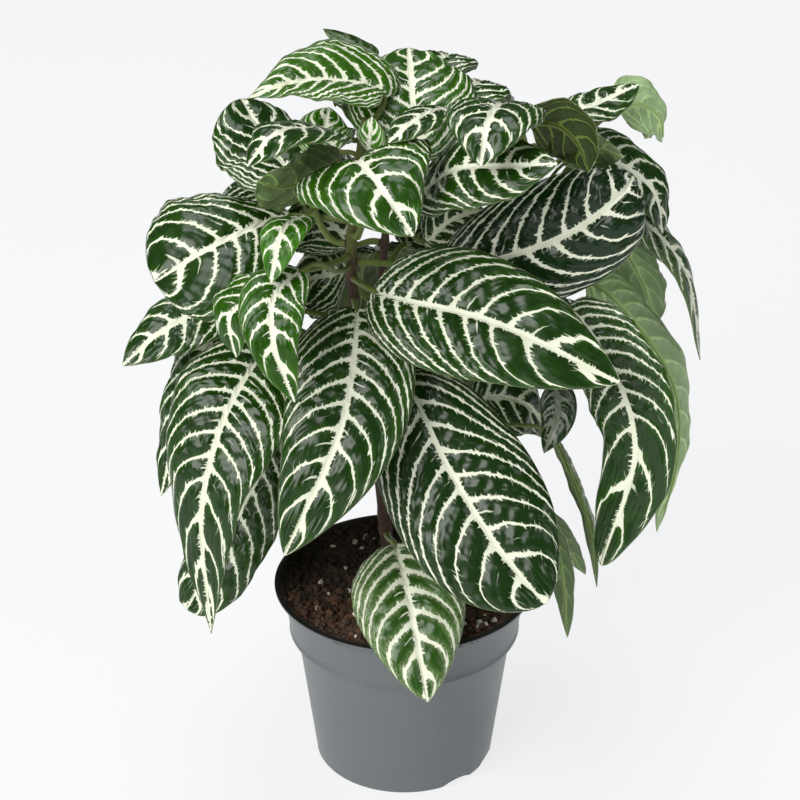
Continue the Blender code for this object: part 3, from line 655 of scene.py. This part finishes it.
class Blade:
    """The grid of a leaf's upper side: rows along it, and columns across it.

    along goes from 0 at the base to 1 at the tip, share from 0 on the midrib to 1 at the edge, and
    sign tells the two sides apart. half is half the width, and bend fades where that is narrow.
    """

    def __init__(self, leaf, rows, columns):
        self.leaf = leaf
        even = np.linspace(0, 1, rows + 1)
        track = np.linspace(-1, 1, columns + 1)
        track = np.sign(track) * (0.55 * np.abs(track) + 0.45 * np.abs(track) ** 1.6)
        self.along = (0.85 * even + 0.15 * (0.5 - 0.5 * np.cos(np.pi * even)))[:, None]
        self.share = np.abs(track)[None, :]
        self.sign = np.sign(track)[None, :]
        self.half = half_widths(leaf, self.along)
        self.bend = np.minimum(1, self.half / FULL_BEND_HALF_WIDTH)
        self.seed = sum(map(ord, leaf.name)) % 97
        self.phase = self.vein_count()

    def vein_count(self):
        """How many side veins come before a point. One runs where a whole number and a half do."""
        leaf, share = self.leaf, self.share
        slim = (leaf.width / 4 + self.half / 2) / leaf.length
        start = self.along - slim * (0.26 * share + 0.58 * share ** 2 + 0.40 * share ** 6)
        count = leaf.veins * (start + leaf.crowding * (start - start ** 2)) + 0.1
        return count + np.where(self.sign > 0, 0.5, 0.0) * np.clip(share * self.half / 1.4, 0, 1)

    def section(self):
        """How far points lie out from the midrib and up from it, where the blade is only bent."""
        leaf, share, sign, half, bend = self.leaf, self.share, self.sign, self.half, self.bend
        fold, droop = np.radians(leaf.fold) * bend, np.radians(leaf.droop) * bend
        slope = fold - droop * share
        out = sign * half * (np.sin(fold) - np.sin(slope)) / droop
        up = half * (np.cos(slope) - np.cos(fold)) / droop
        waves = np.sin(7 * np.pi * self.along + np.where(sign > 0, 1.3, 0))
        up = up + leaf.wave * share ** 2 * bend * waves
        flutter = 0.55 * min(1, leaf.width / FLUTTER_WIDTH) ** 2
        ripples = np.sin(19 * np.pi * self.along + self.seed + 2 * sign)
        return out, up + flutter * share ** 4 * bend * ripples

    def puffed(self, up, settings):
        """The height with the puffs between the side veins and the groove over the midrib."""
        share, phase, bend = self.share, self.phase, self.bend
        puff = np.abs(np.sin(np.pi * (phase - 0.5))) ** 0.85
        puff = puff * np.clip(share / 0.12, 0, 1) * np.clip((1 - share) / 0.10, 0, 1) * bend
        quilting = settings.quilting / MM * min(1, self.leaf.width / QUILTED_WIDTH)
        pucker = np.sin(2 * np.pi * (phase * 0.97 + 2.6 * share * self.half / 10 + self.seed))
        pucker = pucker * np.sin(2 * np.pi * (phase * 0.5 - share * self.half / 9 + self.seed / 7))
        up = up + quilting * puff * (0.80 + 0.42 * pucker)
        groove = np.exp(-(share * self.half / GROOVE_HALF_WIDTH) ** 2)
        return up - settings.midrib_groove / MM * groove * bend

    def places(self, frames, blade_start, settings):
        """Where each point lies."""
        out, up = self.section()
        up = self.puffed(up, settings)
        row = frames_at(frames, blade_start + (len(frames) - 1 - blade_start) * self.along[:, 0])
        middle, side, upper = row[:, None, :3], row[:, None, 3:6], row[:, None, 6:]
        return middle + side * out[:, :, None] + upper * up[:, :, None]

    def notes(self, places):
        """What the material reads on each point, in millimetres, shares and counts of veins."""
        d_row, d_column = np.gradient(places, axis=(0, 1))
        p_row, p_column = np.gradient(self.phase)
        a, b, c = (d_row ** 2).sum(2), (d_row * d_column).sum(2), (d_column ** 2).sum(2)
        # How fast the count of veins grows over the surface, squared
        det = np.maximum(a * c - b * b, 1e-9)
        steep = (c * p_row ** 2 - 2 * b * p_row * p_column + a * p_column ** 2) / det
        share, whole = self.share, np.zeros_like(self.phase)
        forward = np.cumsum(np.sqrt(a[:, share.size // 2]))[:, None] + whole
        return {
            "phase": self.phase,
            "spacing": np.clip(1 / np.sqrt(np.maximum(steep, 1e-6)), 0.5, 14),
            "mid": share * self.half,
            "edge": (1 - share) * self.half,
            "share": share + whole,
            "along": self.along + whole,
            "flat": np.stack([forward, self.sign * share * self.half, whole + self.seed * 3.7], 2),
        }


def frames_at(frames, marks):
    """The frames at marks along the middle line, which may lie between two of its points."""
    low = np.minimum(marks.astype(int), len(frames) - 2)
    part = (marks - low)[:, None]
    return frames[low] * (1 - part) + frames[low + 1] * part


def make_stalk(leaf, frames, blade_start, settings, material):
    """The petiole, which runs on below the blade as its midrib."""
    run = len(frames) - 1 - blade_start
    marks = np.concatenate([np.linspace(0, blade_start, PETIOLE_MARKS),
                            blade_start + run * np.linspace(0.04, 0.93, MIDRIB_MARKS)])
    row = frames_at(frames, marks)
    beyond = np.clip((marks - blade_start) / run, 0, 1)
    size = min(1, leaf.width / PETIOLE_WIDTH) * settings.petiole_radius / MM
    radii = np.where(beyond > 0, size * (0.62 - 0.45 * beyond), size * (1 - 0.2 * marks / blade_start))
    depth = (settings.blade_thickness + settings.midrib_groove) / MM
    drop = np.clip(beyond / 0.05, 0, 1) * (radii * 0.85 + depth)
    stalk = tube_piece(leaf.name + "_stalk", row[:, :3] - row[:, 6:] * drop[:, None], radii, 3, material)
    store(stalk, "pale", [leaf.pale] * len(stalk.data.vertices))
    return stalk


def make_leaf(leaf, settings, finishes):
    """A leaf: a puffed and folded blade with a thickness, and its petiole."""
    frames, blade_start = leaf_frames(leaf)
    large = leaf.length > LARGE_LEAF_LENGTH
    grid = Blade(leaf, settings.large_rows if large else settings.small_rows,
                 LARGE_COLUMNS if large else SMALL_COLUMNS)
    places = grid.places(frames, blade_start, settings)
    blade = grid_piece(leaf.name.replace("leaf", "blade"), places)
    for name, values in grid.notes(places).items():
        store(blade, name, values)
    for name in ("tone", "pale", "plain", "old"):
        store(blade, name, np.full(places.shape[:2], getattr(leaf, name)))
    for finish in ("young" if leaf.young else "upper", "under", "stalk"):
        blade.data.materials.append(finishes[finish])
    thicken(blade, settings.blade_thickness, use_even_offset=False, material_offset=1,
            material_offset_rim=0)
    stalk = make_stalk(leaf, frames, blade_start, settings, finishes["stalk"])
    settle([blade, stalk], "young_leaf" if leaf.young else "leaf", leaf.name)


class LeafFinish(Finish):
    """A leaf's material, with masks of its veins. They are thinner where fine is less than 1."""

    def __init__(self, name, fine):
        super().__init__(name, "flat")
        self.fine = fine
        for measure in ("phase", "spacing", "mid", "share", "along", "edge", "tone", "pale"):
            setattr(self, measure, self.attribute(measure))
        self.wander = self.noise((0.10, 0.10, 1))
        self.counted = self.phase + (self.wander - 0.5) * 0.30
        self.away = abs(self.counted.fraction() - 0.5) * self.spacing
        flare = self.mid.step(1.0, 5.5, 0.55, 0)
        width = (self.share.step(0.0, 0.95, 0.88, 0.28) + flare) * fine
        width = (width * self.edge.step(0.3, 2.6, 0.15, 1)).least(self.spacing * 0.10 + flare * 0.6)
        self.width = width * (1 + self.pale * 0.7)

    def midrib(self):
        """The midrib, with ragged sides."""
        teeth = self.noise((0.8, 0.12, 1), 3, 0.65).step(0.47, 0.8) * 2.3
        width = self.along.step(0.0, 0.34, 0.65, 1.5) * self.along.step(0.70, 1.0, 1, 0.4) * self.fine
        return (self.mid - teeth * self.fine - width).step(0.18, -0.18)

    def side_veins(self):
        """The side veins, with feathered sides."""
        teeth = self.noise_on((self.mid * 0.85, self.phase * 1.7, self.along * 2), 2, 0.6)
        teeth = teeth.step(0.47, 0.8) * 2.0 * self.edge.step(0.5, 4, 0.3, 1) * self.fine
        return (self.away - teeth.least(self.spacing * 0.15) - self.width).step(0.13, -0.13)

    def thin_veins(self):
        """The thin veins between the side veins, and the whiskers that stand out from those."""
        between = abs((self.counted + 0.5).fraction() - 0.5) * self.spacing
        patchy = self.noise((0.05, 0.09, 1)).step(0.50, 0.62)
        width = self.share.step(0.0, 0.6, 0.50, -0.25) * patchy * self.fine
        thin = (between - width).step(0.14, -0.10) * patchy
        ticks = self.mid * 0.33 + self.part("X") * 0.17 + self.wander * 1.2
        tick, vein = ticks - ticks.fraction(), self.counted - self.counted.fraction()
        reach = self.noise_on((tick * 3.7, vein * 5.3, 4.0), 0).step(0.44, 0.74) * 3.1
        reach = reach.least(self.spacing * 0.32).most(0.05)
        tapering = (1 - (self.away - self.width) / reach).clamped()
        whisker = (abs(ticks.fraction() - 0.5) - tapering * 0.058).step(0.03, -0.02)
        return thin.most(whisker * tapering.step(0.02, 0.3) * self.edge.step(0.2, 1.5) * self.fine)


def times(colour, factor):
    """A colour made lighter or darker."""
    return tuple(channel * factor for channel in colour)


def leaf_upper_finish(settings, young):
    """Glossy green with cream veins whose edges are feathered."""
    leaf = LeafFinish("young_leaf_green" if young else "zebra_leaf_green", 0.85 if young else 1.0)
    base = settings.young_green if young else settings.green
    bright = times(base, 3.2) if young else settings.bright_green
    mottle = leaf.noise((0.09, 0.09, 1), 4, 0.6)
    grain = leaf.noise((2.4, 2.4, 1))
    crease = leaf.noise_on((leaf.mid * 0.055, leaf.phase * 1.9, leaf.along * 2), 1, 0.4)
    swell = leaf.noise((0.075, 0.075, 1), 1)
    near = leaf.away.step(3.2, 0.8, 0, 0.5) + mottle.step(0.45, 0.75, 0, 0.35)
    green = leaf.mix((near * (0.6 + leaf.tone) + leaf.tone * 0.6).clamped(), base, bright)
    # Painted shade: a leaf whose tone is below nought is darkened towards the darkest green, as if it lay
    # in shadow
    green = leaf.mix((leaf.tone * -0.8).clamped(), green, SHADED_GREEN)
    green = leaf.mix(leaf.pale * 0.9, green, MOTTLED_GREEN)
    halo = leaf.pale * 1.5 * leaf.away.step(4.6, 0.8) * grain.step(0.42, 0.62)
    green = leaf.mix(halo.clamped(), green, HALO_GREEN)
    cream = leaf.mix(mottle.step(0.35, 0.7) * 0.22, settings.cream, WARM_CREAM)
    veins = leaf.midrib().most(leaf.side_veins()).most(leaf.thin_veins() * 0.8)
    veins = veins * (1 - leaf.attribute("plain"))
    colour = leaf.mix(veins, green, cream)
    colour = leaf.mix(leaf.edge.step(0.55, 0.2) * 0.6, colour, RIM_GREEN)
    colour = leaf.mix(leaf.attribute("old") * leaf.along.step(0.86, 0.95), colour, DRY_BROWN)
    relief = crease * 1.5 + swell * 0.7 + grain * 0.015 - veins * 0.12
    return leaf.surface(colour, 0.27 + veins * 0.16 + (mottle - 0.5) * 0.14, relief, 0.0016, 0.8,
                        Specular_IOR_Level=0.30 if young else 0.42)


def leaf_under_finish(settings):
    """Dull olive with raised veins of a paler green."""
    leaf = LeafFinish("leaf_underside_olive", 0.62)
    mottle = leaf.noise((0.14, 0.14, 1), 4, 0.6)
    olive = leaf.mix(mottle * 0.6, settings.under_olive, MOTTLED_OLIVE)
    olive = leaf.mix(leaf.pale, olive, PALE_UNDERSIDE)
    # Painted shade: an underside whose tone is below nought is darkened towards the darkest olive, as if it
    # lay in shadow
    olive = leaf.mix((leaf.tone * -1).clamped(), olive, SHADED_OLIVE)
    veins = leaf.midrib().most(leaf.side_veins())
    vein_colour = leaf.mix((leaf.pale * 1.3).clamped(), settings.under_vein, PALE_UNDER_VEIN)
    colour = leaf.mix(veins * 0.8, olive, vein_colour)
    return leaf.surface(colour, 0.55 - veins * 0.1, veins + mottle * 0.3, 0.0006, 0.7,
                        Specular_IOR_Level=0.3)


def stalk_finish(settings):
    """Petioles: reddish at the stem, yellow-green further out, finely streaked."""
    finish = Finish("petiole_green")
    stalk = finish.attribute("stalk")
    streak = finish.noise((900, 900, 240), 3, 0.6)
    patch = finish.noise(60, 3, 0.6)
    red = (stalk.step(0.0, 0.15, 0.6, 0.0) + patch.step(0.55, 0.8, 0, 0.25)).clamped()
    colour = finish.mix(red, settings.petiole_green, settings.petiole_red)
    colour = finish.mix(finish.attribute("pale") * stalk.step(0.3, 0.5), colour, PALE_PETIOLE)
    colour = finish.mix(streak.step(0.55, 0.8) * 0.4, colour, PETIOLE_STREAK)
    return finish.surface(colour, 0.45, streak, 0.0002, 0.5)


def bark_finish(settings):
    """Bark: brown and cork-streaked low down, greener on the young shoots."""
    finish = Finish("stem_bark")
    streak = finish.noise((520, 520, 90), 5, 0.7)
    cork = finish.noise((300, 300, 700), 3, 0.6)
    colour = finish.mix(finish.part("Z").step(0.285, 0.315), settings.bark, settings.green_bark)
    colour = finish.mix(streak.step(0.5, 0.7) * 0.6, colour, BARK_STREAK)
    colour = finish.mix(cork.step(0.62, 0.7) * 0.5, colour, CORK_BROWN)
    return finish.surface(colour, 0.75 + (streak - 0.5) * 0.2, streak + cork * 0.4, 0.0006, 0.9)


def pot_outer_finish(settings):
    """Satin grey plastic with faint flow marks, scuffs and dust."""
    finish = Finish("pot_grey_plastic")
    cloud = finish.noise(22, 3, 0.55)
    flow = finish.noise((40, 40, 420))
    scuff = finish.noise((160, 160, 900), 4, 0.65).step(0.66, 0.72)
    scuff = scuff * finish.noise(30).step(0.5, 0.62)
    dust = finish.cells(240).step(0.10, 0.05) * finish.noise(24).step(0.52, 0.6)
    colour = finish.mix(cloud * 0.5 + flow * 0.15, settings.grey, times(settings.grey, 1.14))
    colour = finish.mix((scuff * 0.4 + dust * 0.45).clamped(), colour, SCUFF_GREY)
    return finish.surface(colour, 0.40 + (cloud - 0.5) * 0.14 + scuff * 0.15,
                          finish.noise(1500) * 0.5 + flow * 0.5, 0.0002, 0.35, Specular_IOR_Level=0.5)


def pot_inner_finish(settings):
    """Near black plastic, a little dusty with peat."""
    finish = Finish("pot_black_plastic")
    dusty = finish.noise(140, 4, 0.65).step(0.52, 0.75)
    speck = finish.cells(420).step(0.14, 0.06)
    colour = finish.mix(dusty * 0.35 + speck * 0.12, settings.black, PEAT_DUST)
    return finish.surface(colour, 0.42 + dusty * 0.25, finish.noise(900), 0.0002, 0.4)


def soil_finish(settings):
    """Crumbly peat from near black to red-brown, painted darker and less red towards the back as shade
    under the leaves.
    """
    finish = Finish("peat_soil")
    clump = finish.noise(170, 6, 0.7)
    fibre = finish.noise((1400, 260, 700), 3, 0.6)
    # Painted shade: towards the back, under the leaves, the light clumps and the red fade to a quarter, so
    # the soil is darker there
    out_of_shade = finish.part("Y").step(0.012, -0.035, 0.25, 1)
    colour = finish.mix(clump.step(0.36, 0.64) * out_of_shade, settings.peat, DRY_PEAT)
    red = finish.attribute("kind").step(0.35, 0.85) * 0.8 + fibre.step(0.6, 0.72) * 0.35
    colour = finish.mix(red.clamped() * out_of_shade, colour, settings.bark_red)
    return finish.surface(colour, 0.93, clump * 0.9 + finish.cells(480) * 0.7 + fibre * 0.2, 0.0014, 1.0)


def perlite_finish(settings):
    """White volcanic grains with grey pores and brown stains."""
    finish = Finish("perlite_white")
    stain = finish.noise(420, 4, 0.65).step(0.5, 0.68)
    colour = finish.mix(stain, settings.perlite, GRAIN_STAIN)
    return finish.surface(colour, 0.85, finish.cells(1500), 0.0005, 0.8)


def floor_finish(settings):
    """A pale floor with the slightest unevenness."""
    finish = Finish("studio_floor")
    dull = times(settings.floor_colour, 0.985)
    return finish.surface(finish.mix(finish.noise(2.0), settings.floor_colour, dull), 0.6,
                          Emission_Color=FLOOR_LIGHT, Emission_Strength=settings.floor_glow)


class PLANT_OT_pot(bpy.types.Operator):
    """Turn the nursery pot: base, tapering wall, collar, flat lip and dark inside"""

    bl_idname = "plant.make_pot"
    bl_label = "Make the pot"
    bl_options = {"REGISTER", "UNDO"}

    def execute(self, context):
        settings = context.scene.zebra_pot
        lip, height = settings.lip_radius / MM, settings.height / MM
        rim = [
            (lip - 0.6, height - 1.8), (lip, height - 1.3), (lip, height - 0.4), (lip - 0.5, height),
            (67.3, height), (65.4, height - 0.3), (64.3, height - 1.4), (63.7, height - 4),
        ]
        (radius, level), *others = POT_FOOT + POT_SHOULDER + POT_COLLAR + rim + POT_INSIDE
        pot = added("nursery_pot", bpy.ops.mesh.primitive_circle_add, vertices=settings.sides,
                    radius=radius * MM, fill_type="NGON")
        bpy.ops.object.mode_set(mode="EDIT")
        bpy.ops.mesh.select_all(action="SELECT")
        bpy.ops.mesh.flip_normals()
        bpy.ops.mesh.select_mode(type="EDGE")
        for next_radius, next_level in others:
            bpy.ops.mesh.extrude_region_move(
                TRANSFORM_OT_translate={"value": (0, 0, (next_level - level) * MM)})
            grow = next_radius / radius
            bpy.ops.transform.resize(value=(grow, grow, 1), center_override=(0, 0, 0))
            radius, level = next_radius, next_level
        bpy.ops.mesh.edge_face_add()
        bpy.ops.mesh.select_all(action="SELECT")
        bpy.ops.mesh.normals_make_consistent(inside=False)
        bpy.ops.object.mode_set(mode="OBJECT")
        self.cut_arches(pot)
        for finish in (pot_outer_finish(settings), pot_inner_finish(settings),
                       soil_finish(context.scene.zebra_soil)):
            pot.data.materials.append(finish)
        for face in pot.data.polygons:
            face.material_index = self.face_material(face, height)
        bpy.ops.object.shade_smooth_by_angle(angle=math.radians(40))
        settle([pot], "pot", "pot")
        return {"FINISHED"}

    def cut_arches(self, pot):
        """Cut the shallow drain arches out of the pot's foot."""
        radius = (ARCH_WIDTH ** 2 / 4 + ARCH_RISE ** 2) / (2 * ARCH_RISE)
        for bearing in ARCH_BEARINGS:
            angle = math.radians(bearing)
            place = Vector((math.sin(angle), -math.cos(angle), 0)) * ARCH_RADIUS * MM
            place.z = (ARCH_RISE - radius) * MM
            roller = added("roller", bpy.ops.mesh.primitive_cylinder_add, vertices=64,
                           radius=radius * MM, depth=ARCH_DEPTH * MM, location=place,
                           rotation=(math.pi / 2, 0, angle))
            pot.modifiers.new("arch", "BOOLEAN").object = roller
            apply_modifiers(pot)
            bpy.data.objects.remove(roller)

    def face_material(self, face, height):
        """Grey outside, black on the lip and inside, and peat on the wall above the soil."""
        middle = face.center / MM
        inside = face.normal.x * middle.x + face.normal.y * middle.y < 0
        lip_top = middle.z > height - LIP_FACE_DEPTH
        floor = face.normal.z > 0.9 and 1 < middle.z < 50
        above_soil = middle.z > height - PEAT_LINE_DEPTH
        if above_soil and math.hypot(middle.x, middle.y) < PEAT_LINE_RADIUS and (lip_top or inside):
            return POT_PEAT
        return POT_BLACK if lip_top or floor or (inside and middle.z > 4) else POT_GREY


def soil_height(settings, x, y):
    """The soil's height in millimetres: a low mound with clods and crumbs on it."""
    reach = min(math.hypot(x, y) / SOIL_EDGE, 1)
    place = Vector((x, y, settings.seed))
    bumps = sum(noise.fractal(place * fine, soft, 2.0, 3) * high for fine, soft, high in UNEVENNESS)
    height = settings.level / MM + settings.mound / MM * (1 - reach ** 2)
    return height + bumps * min(1, (1 - reach) * 9 + 0.25)


def soil_kind(x, y):
    """How red the peat is at a place."""
    return noise.noise(Vector((x * 0.13, y * 0.13, 9))) + 0.3


class PLANT_OT_soil(bpy.types.Operator):
    """Model the peat's rough surface, with loose crumbs and white grains lying in it"""

    bl_idname = "plant.make_soil"
    bl_label = "Make the soil"
    bl_options = {"REGISTER", "UNDO"}

    def execute(self, context):
        settings = context.scene.zebra_soil
        peat, white = soil_finish(settings), perlite_finish(settings)
        line = np.linspace(-1, 1, SOIL_FACES + 1)
        x, y = np.meshgrid(line, line)
        x, y = x * np.sqrt(1 - y ** 2 / 2) * SOIL_EDGE, y * np.sqrt(1 - x ** 2 / 2) * SOIL_EDGE
        heights = np.vectorize(lambda a, b: soil_height(settings, a, b))(x, y)
        surface = grid_piece("peat", np.stack([x, y, heights], 2))
        store(surface, "kind", np.vectorize(soil_kind)(x, y))
        thicken(surface, SOIL_WALL * MM)
        surface.data.materials.append(peat)
        settle([surface, *self.scatter(context, settings, peat, white)], "soil", "soil")
        return {"FINISHED"}

    def scatter(self, context, settings, peat, white):
        """Crumbs all over the soil, then white grains, the last of them in a cluster."""
        draw = random.Random(settings.seed)
        bits = []
        crumb_shapes = [self.lump(f"crumb_{index}", 1, index) for index in range(CRUMB_SHAPES)]
        grain_shapes = [self.lump(f"grain_{index}", 2, index + 20) for index in range(GRAIN_SHAPES)]
        total = settings.crumbs + settings.grains
        for index in range(total):
            is_grain = index >= settings.crumbs
            shape = draw.choice(grain_shapes if is_grain else crumb_shapes)
            reach = (SOIL_EDGE - 0.2) * math.sqrt(draw.uniform(0.0, 1.0))
            angle = draw.uniform(0, 2 * math.pi)
            place = (reach * math.cos(angle), reach * math.sin(angle))
            if index >= total - CLUSTER_GRAINS:
                place = (draw.gauss(*CLUSTER_X), draw.gauss(*CLUSTER_Y))
            size = draw.uniform(*GRAIN_SIZES) if is_grain else draw.triangular(*CRUMB_SIZES)
            size = max(LEAST_SIZE, min(size, CRUMB_LIMIT - math.hypot(*place)))
            bit = shape.copy()
            bit.data = shape.data.copy()
            context.scene.collection.objects.link(bit)
            bit.scale = [size * draw.uniform(0.7, 1.25) * MM for _ in range(3)]
            bit.rotation_euler = [draw.uniform(0, 2 * math.pi) for _ in range(3)]
            lift = 0.4 * size if is_grain else 0.3 * size
            bit.location = Vector((*place, soil_height(settings, *place) + lift)) * MM
            store(bit, "kind", [draw.uniform(0, 1)] * len(bit.data.vertices))
            bit.data.materials.append(white if is_grain else peat)
            bits.append(bit)
        for shape in crumb_shapes + grain_shapes:
            bpy.data.objects.remove(shape)
        return bits

    def lump(self, name, divisions, seed):
        """A rounded lump of unit size with an uneven surface."""
        piece = added(name, bpy.ops.mesh.primitive_ico_sphere_add, subdivisions=divisions, radius=1)
        for vert in piece.data.vertices:
            vert.co *= 1 + 0.45 * noise.noise(vert.co * 1.6 + Vector((seed * 7.3, 0, 0)))
        bpy.ops.object.shade_smooth()
        return piece


class PLANT_OT_stem(bpy.types.Operator):
    """Grow the woody main stem and its side shoots, swollen at each node"""

    bl_idname = "plant.make_stem"
    bl_label = "Make the stem"
    bl_options = {"REGISTER", "UNDO"}

    def execute(self, context):
        settings = context.scene.zebra_stem
        finish = bark_finish(settings)
        tubes = []
        for name, (_, foot_radius, top_radius) in SHOOTS.items():
            path = shoot_path(name)
            nodes = [leaf.node for leaf in LEAVES if leaf.shoot == name]
            radii = []
            for index, place in enumerate(path):
                share = index / (len(path) - 1)
                swell = max(math.exp(-((place.z - height) / NODE_LENGTH) ** 2) for height in nodes)
                radii.append(foot_radius + (top_radius - foot_radius) * share
                             + settings.node_swelling / MM * (swell - 0.35))
            tubes.append(tube_piece(f"shoot_{name}", path, radii, 6, finish))
        tubes[0].name = "woody_stem"
        settle(tubes, "stem", "stem")
        return {"FINISHED"}


class PLANT_OT_leaves(bpy.types.Operator):
    """Model every leaf with its petiole, its puffed blade and its feathered veins"""

    bl_idname = "plant.make_leaves"
    bl_label = "Make the leaves"
    bl_options = {"REGISTER", "UNDO"}

    def execute(self, context):
        settings = context.scene.zebra_leaf
        finishes = {
            "upper": leaf_upper_finish(settings, young=False),
            "young": leaf_upper_finish(settings, young=True),
            "under": leaf_under_finish(settings),
            "stalk": stalk_finish(settings),
        }
        for leaf in LEAVES:
            make_leaf(leaf, settings, finishes)
        return {"FINISHED"}


class PLANT_OT_studio(bpy.types.Operator):
    """Set up the pale floor, the soft lights and the camera"""

    bl_idname = "plant.make_studio"
    bl_label = "Make the studio"
    bl_options = {"REGISTER", "UNDO"}

    def execute(self, context):
        settings = context.scene.zebra_studio
        floor = added("studio_floor", bpy.ops.mesh.primitive_plane_add, size=FLOOR_SIZE)
        floor.data.materials.append(floor_finish(settings))
        world = bpy.data.worlds.new("studio_sky")
        context.scene.world = world
        world.use_nodes = True
        background = world.node_tree.nodes["Background"]
        background.inputs["Color"].default_value = (1.0, 1.0, 1.0, 1)
        background.inputs["Strength"].default_value = settings.sky
        for name, (place, size, colour) in LIGHTS.items():
            lamp = added(name + "_light", bpy.ops.object.light_add, type="AREA", location=place)
            lamp.data.shape = "SQUARE"
            lamp.data.size = size
            lamp.data.energy = getattr(settings, name)
            lamp.data.color = colour
            lamp.rotation_euler = (LIT_PLACE - Vector(place)).to_track_quat("-Z", "Y").to_euler()
        context.scene.view_settings.view_transform = "Standard"
        camera = added("studio_camera", bpy.ops.object.camera_add, location=settings.camera_place,
                       rotation=(settings.camera_pitch, 0, 0))
        camera.data.lens = settings.lens
        camera.data.sensor_width = SENSOR_WIDTH
        context.scene.camera = camera
        return {"FINISHED"}


class PLANT_PT_panel(bpy.types.Panel):
    """Lists the operators and the sizes and colours they use"""

    bl_idname = "PLANT_PT_panel"
    bl_label = "Zebra plant"
    bl_space_type = "VIEW_3D"
    bl_region_type = "UI"
    bl_category = "Zebra plant"

    def draw(self, context):
        for name, (_, operator) in STEPS.items():
            box = self.layout.box()
            box.operator(operator.bl_idname)
            settings = getattr(context.scene, name)
            for key in settings.__annotations__:
                box.prop(settings, key)


# The steps of the making: the name of each one's settings in the scene, their class, its operator
STEPS = {
    "zebra_pot": (PotSettings, PLANT_OT_pot),
    "zebra_soil": (SoilSettings, PLANT_OT_soil),
    "zebra_stem": (StemSettings, PLANT_OT_stem),
    "zebra_leaf": (LeafSettings, PLANT_OT_leaves),
    "zebra_studio": (StudioSettings, PLANT_OT_studio),
}


def register():
    for name, (settings, operator) in STEPS.items():
        bpy.utils.register_class(settings)
        setattr(bpy.types.Scene, name, bpy.props.PointerProperty(type=settings))
        bpy.utils.register_class(operator)
    bpy.utils.register_class(PLANT_PT_panel)


def unregister():
    bpy.utils.unregister_class(PLANT_PT_panel)
    for name, (settings, operator) in reversed(STEPS.items()):
        bpy.utils.unregister_class(operator)
        delattr(bpy.types.Scene, name)
        bpy.utils.unregister_class(settings)


def main():
    register()
    bpy.ops.plant.make_pot()
    bpy.ops.plant.make_soil()
    bpy.ops.plant.make_stem()
    bpy.ops.plant.make_leaves()
    bpy.ops.plant.make_studio()


if __name__ == "__main__":
    main()
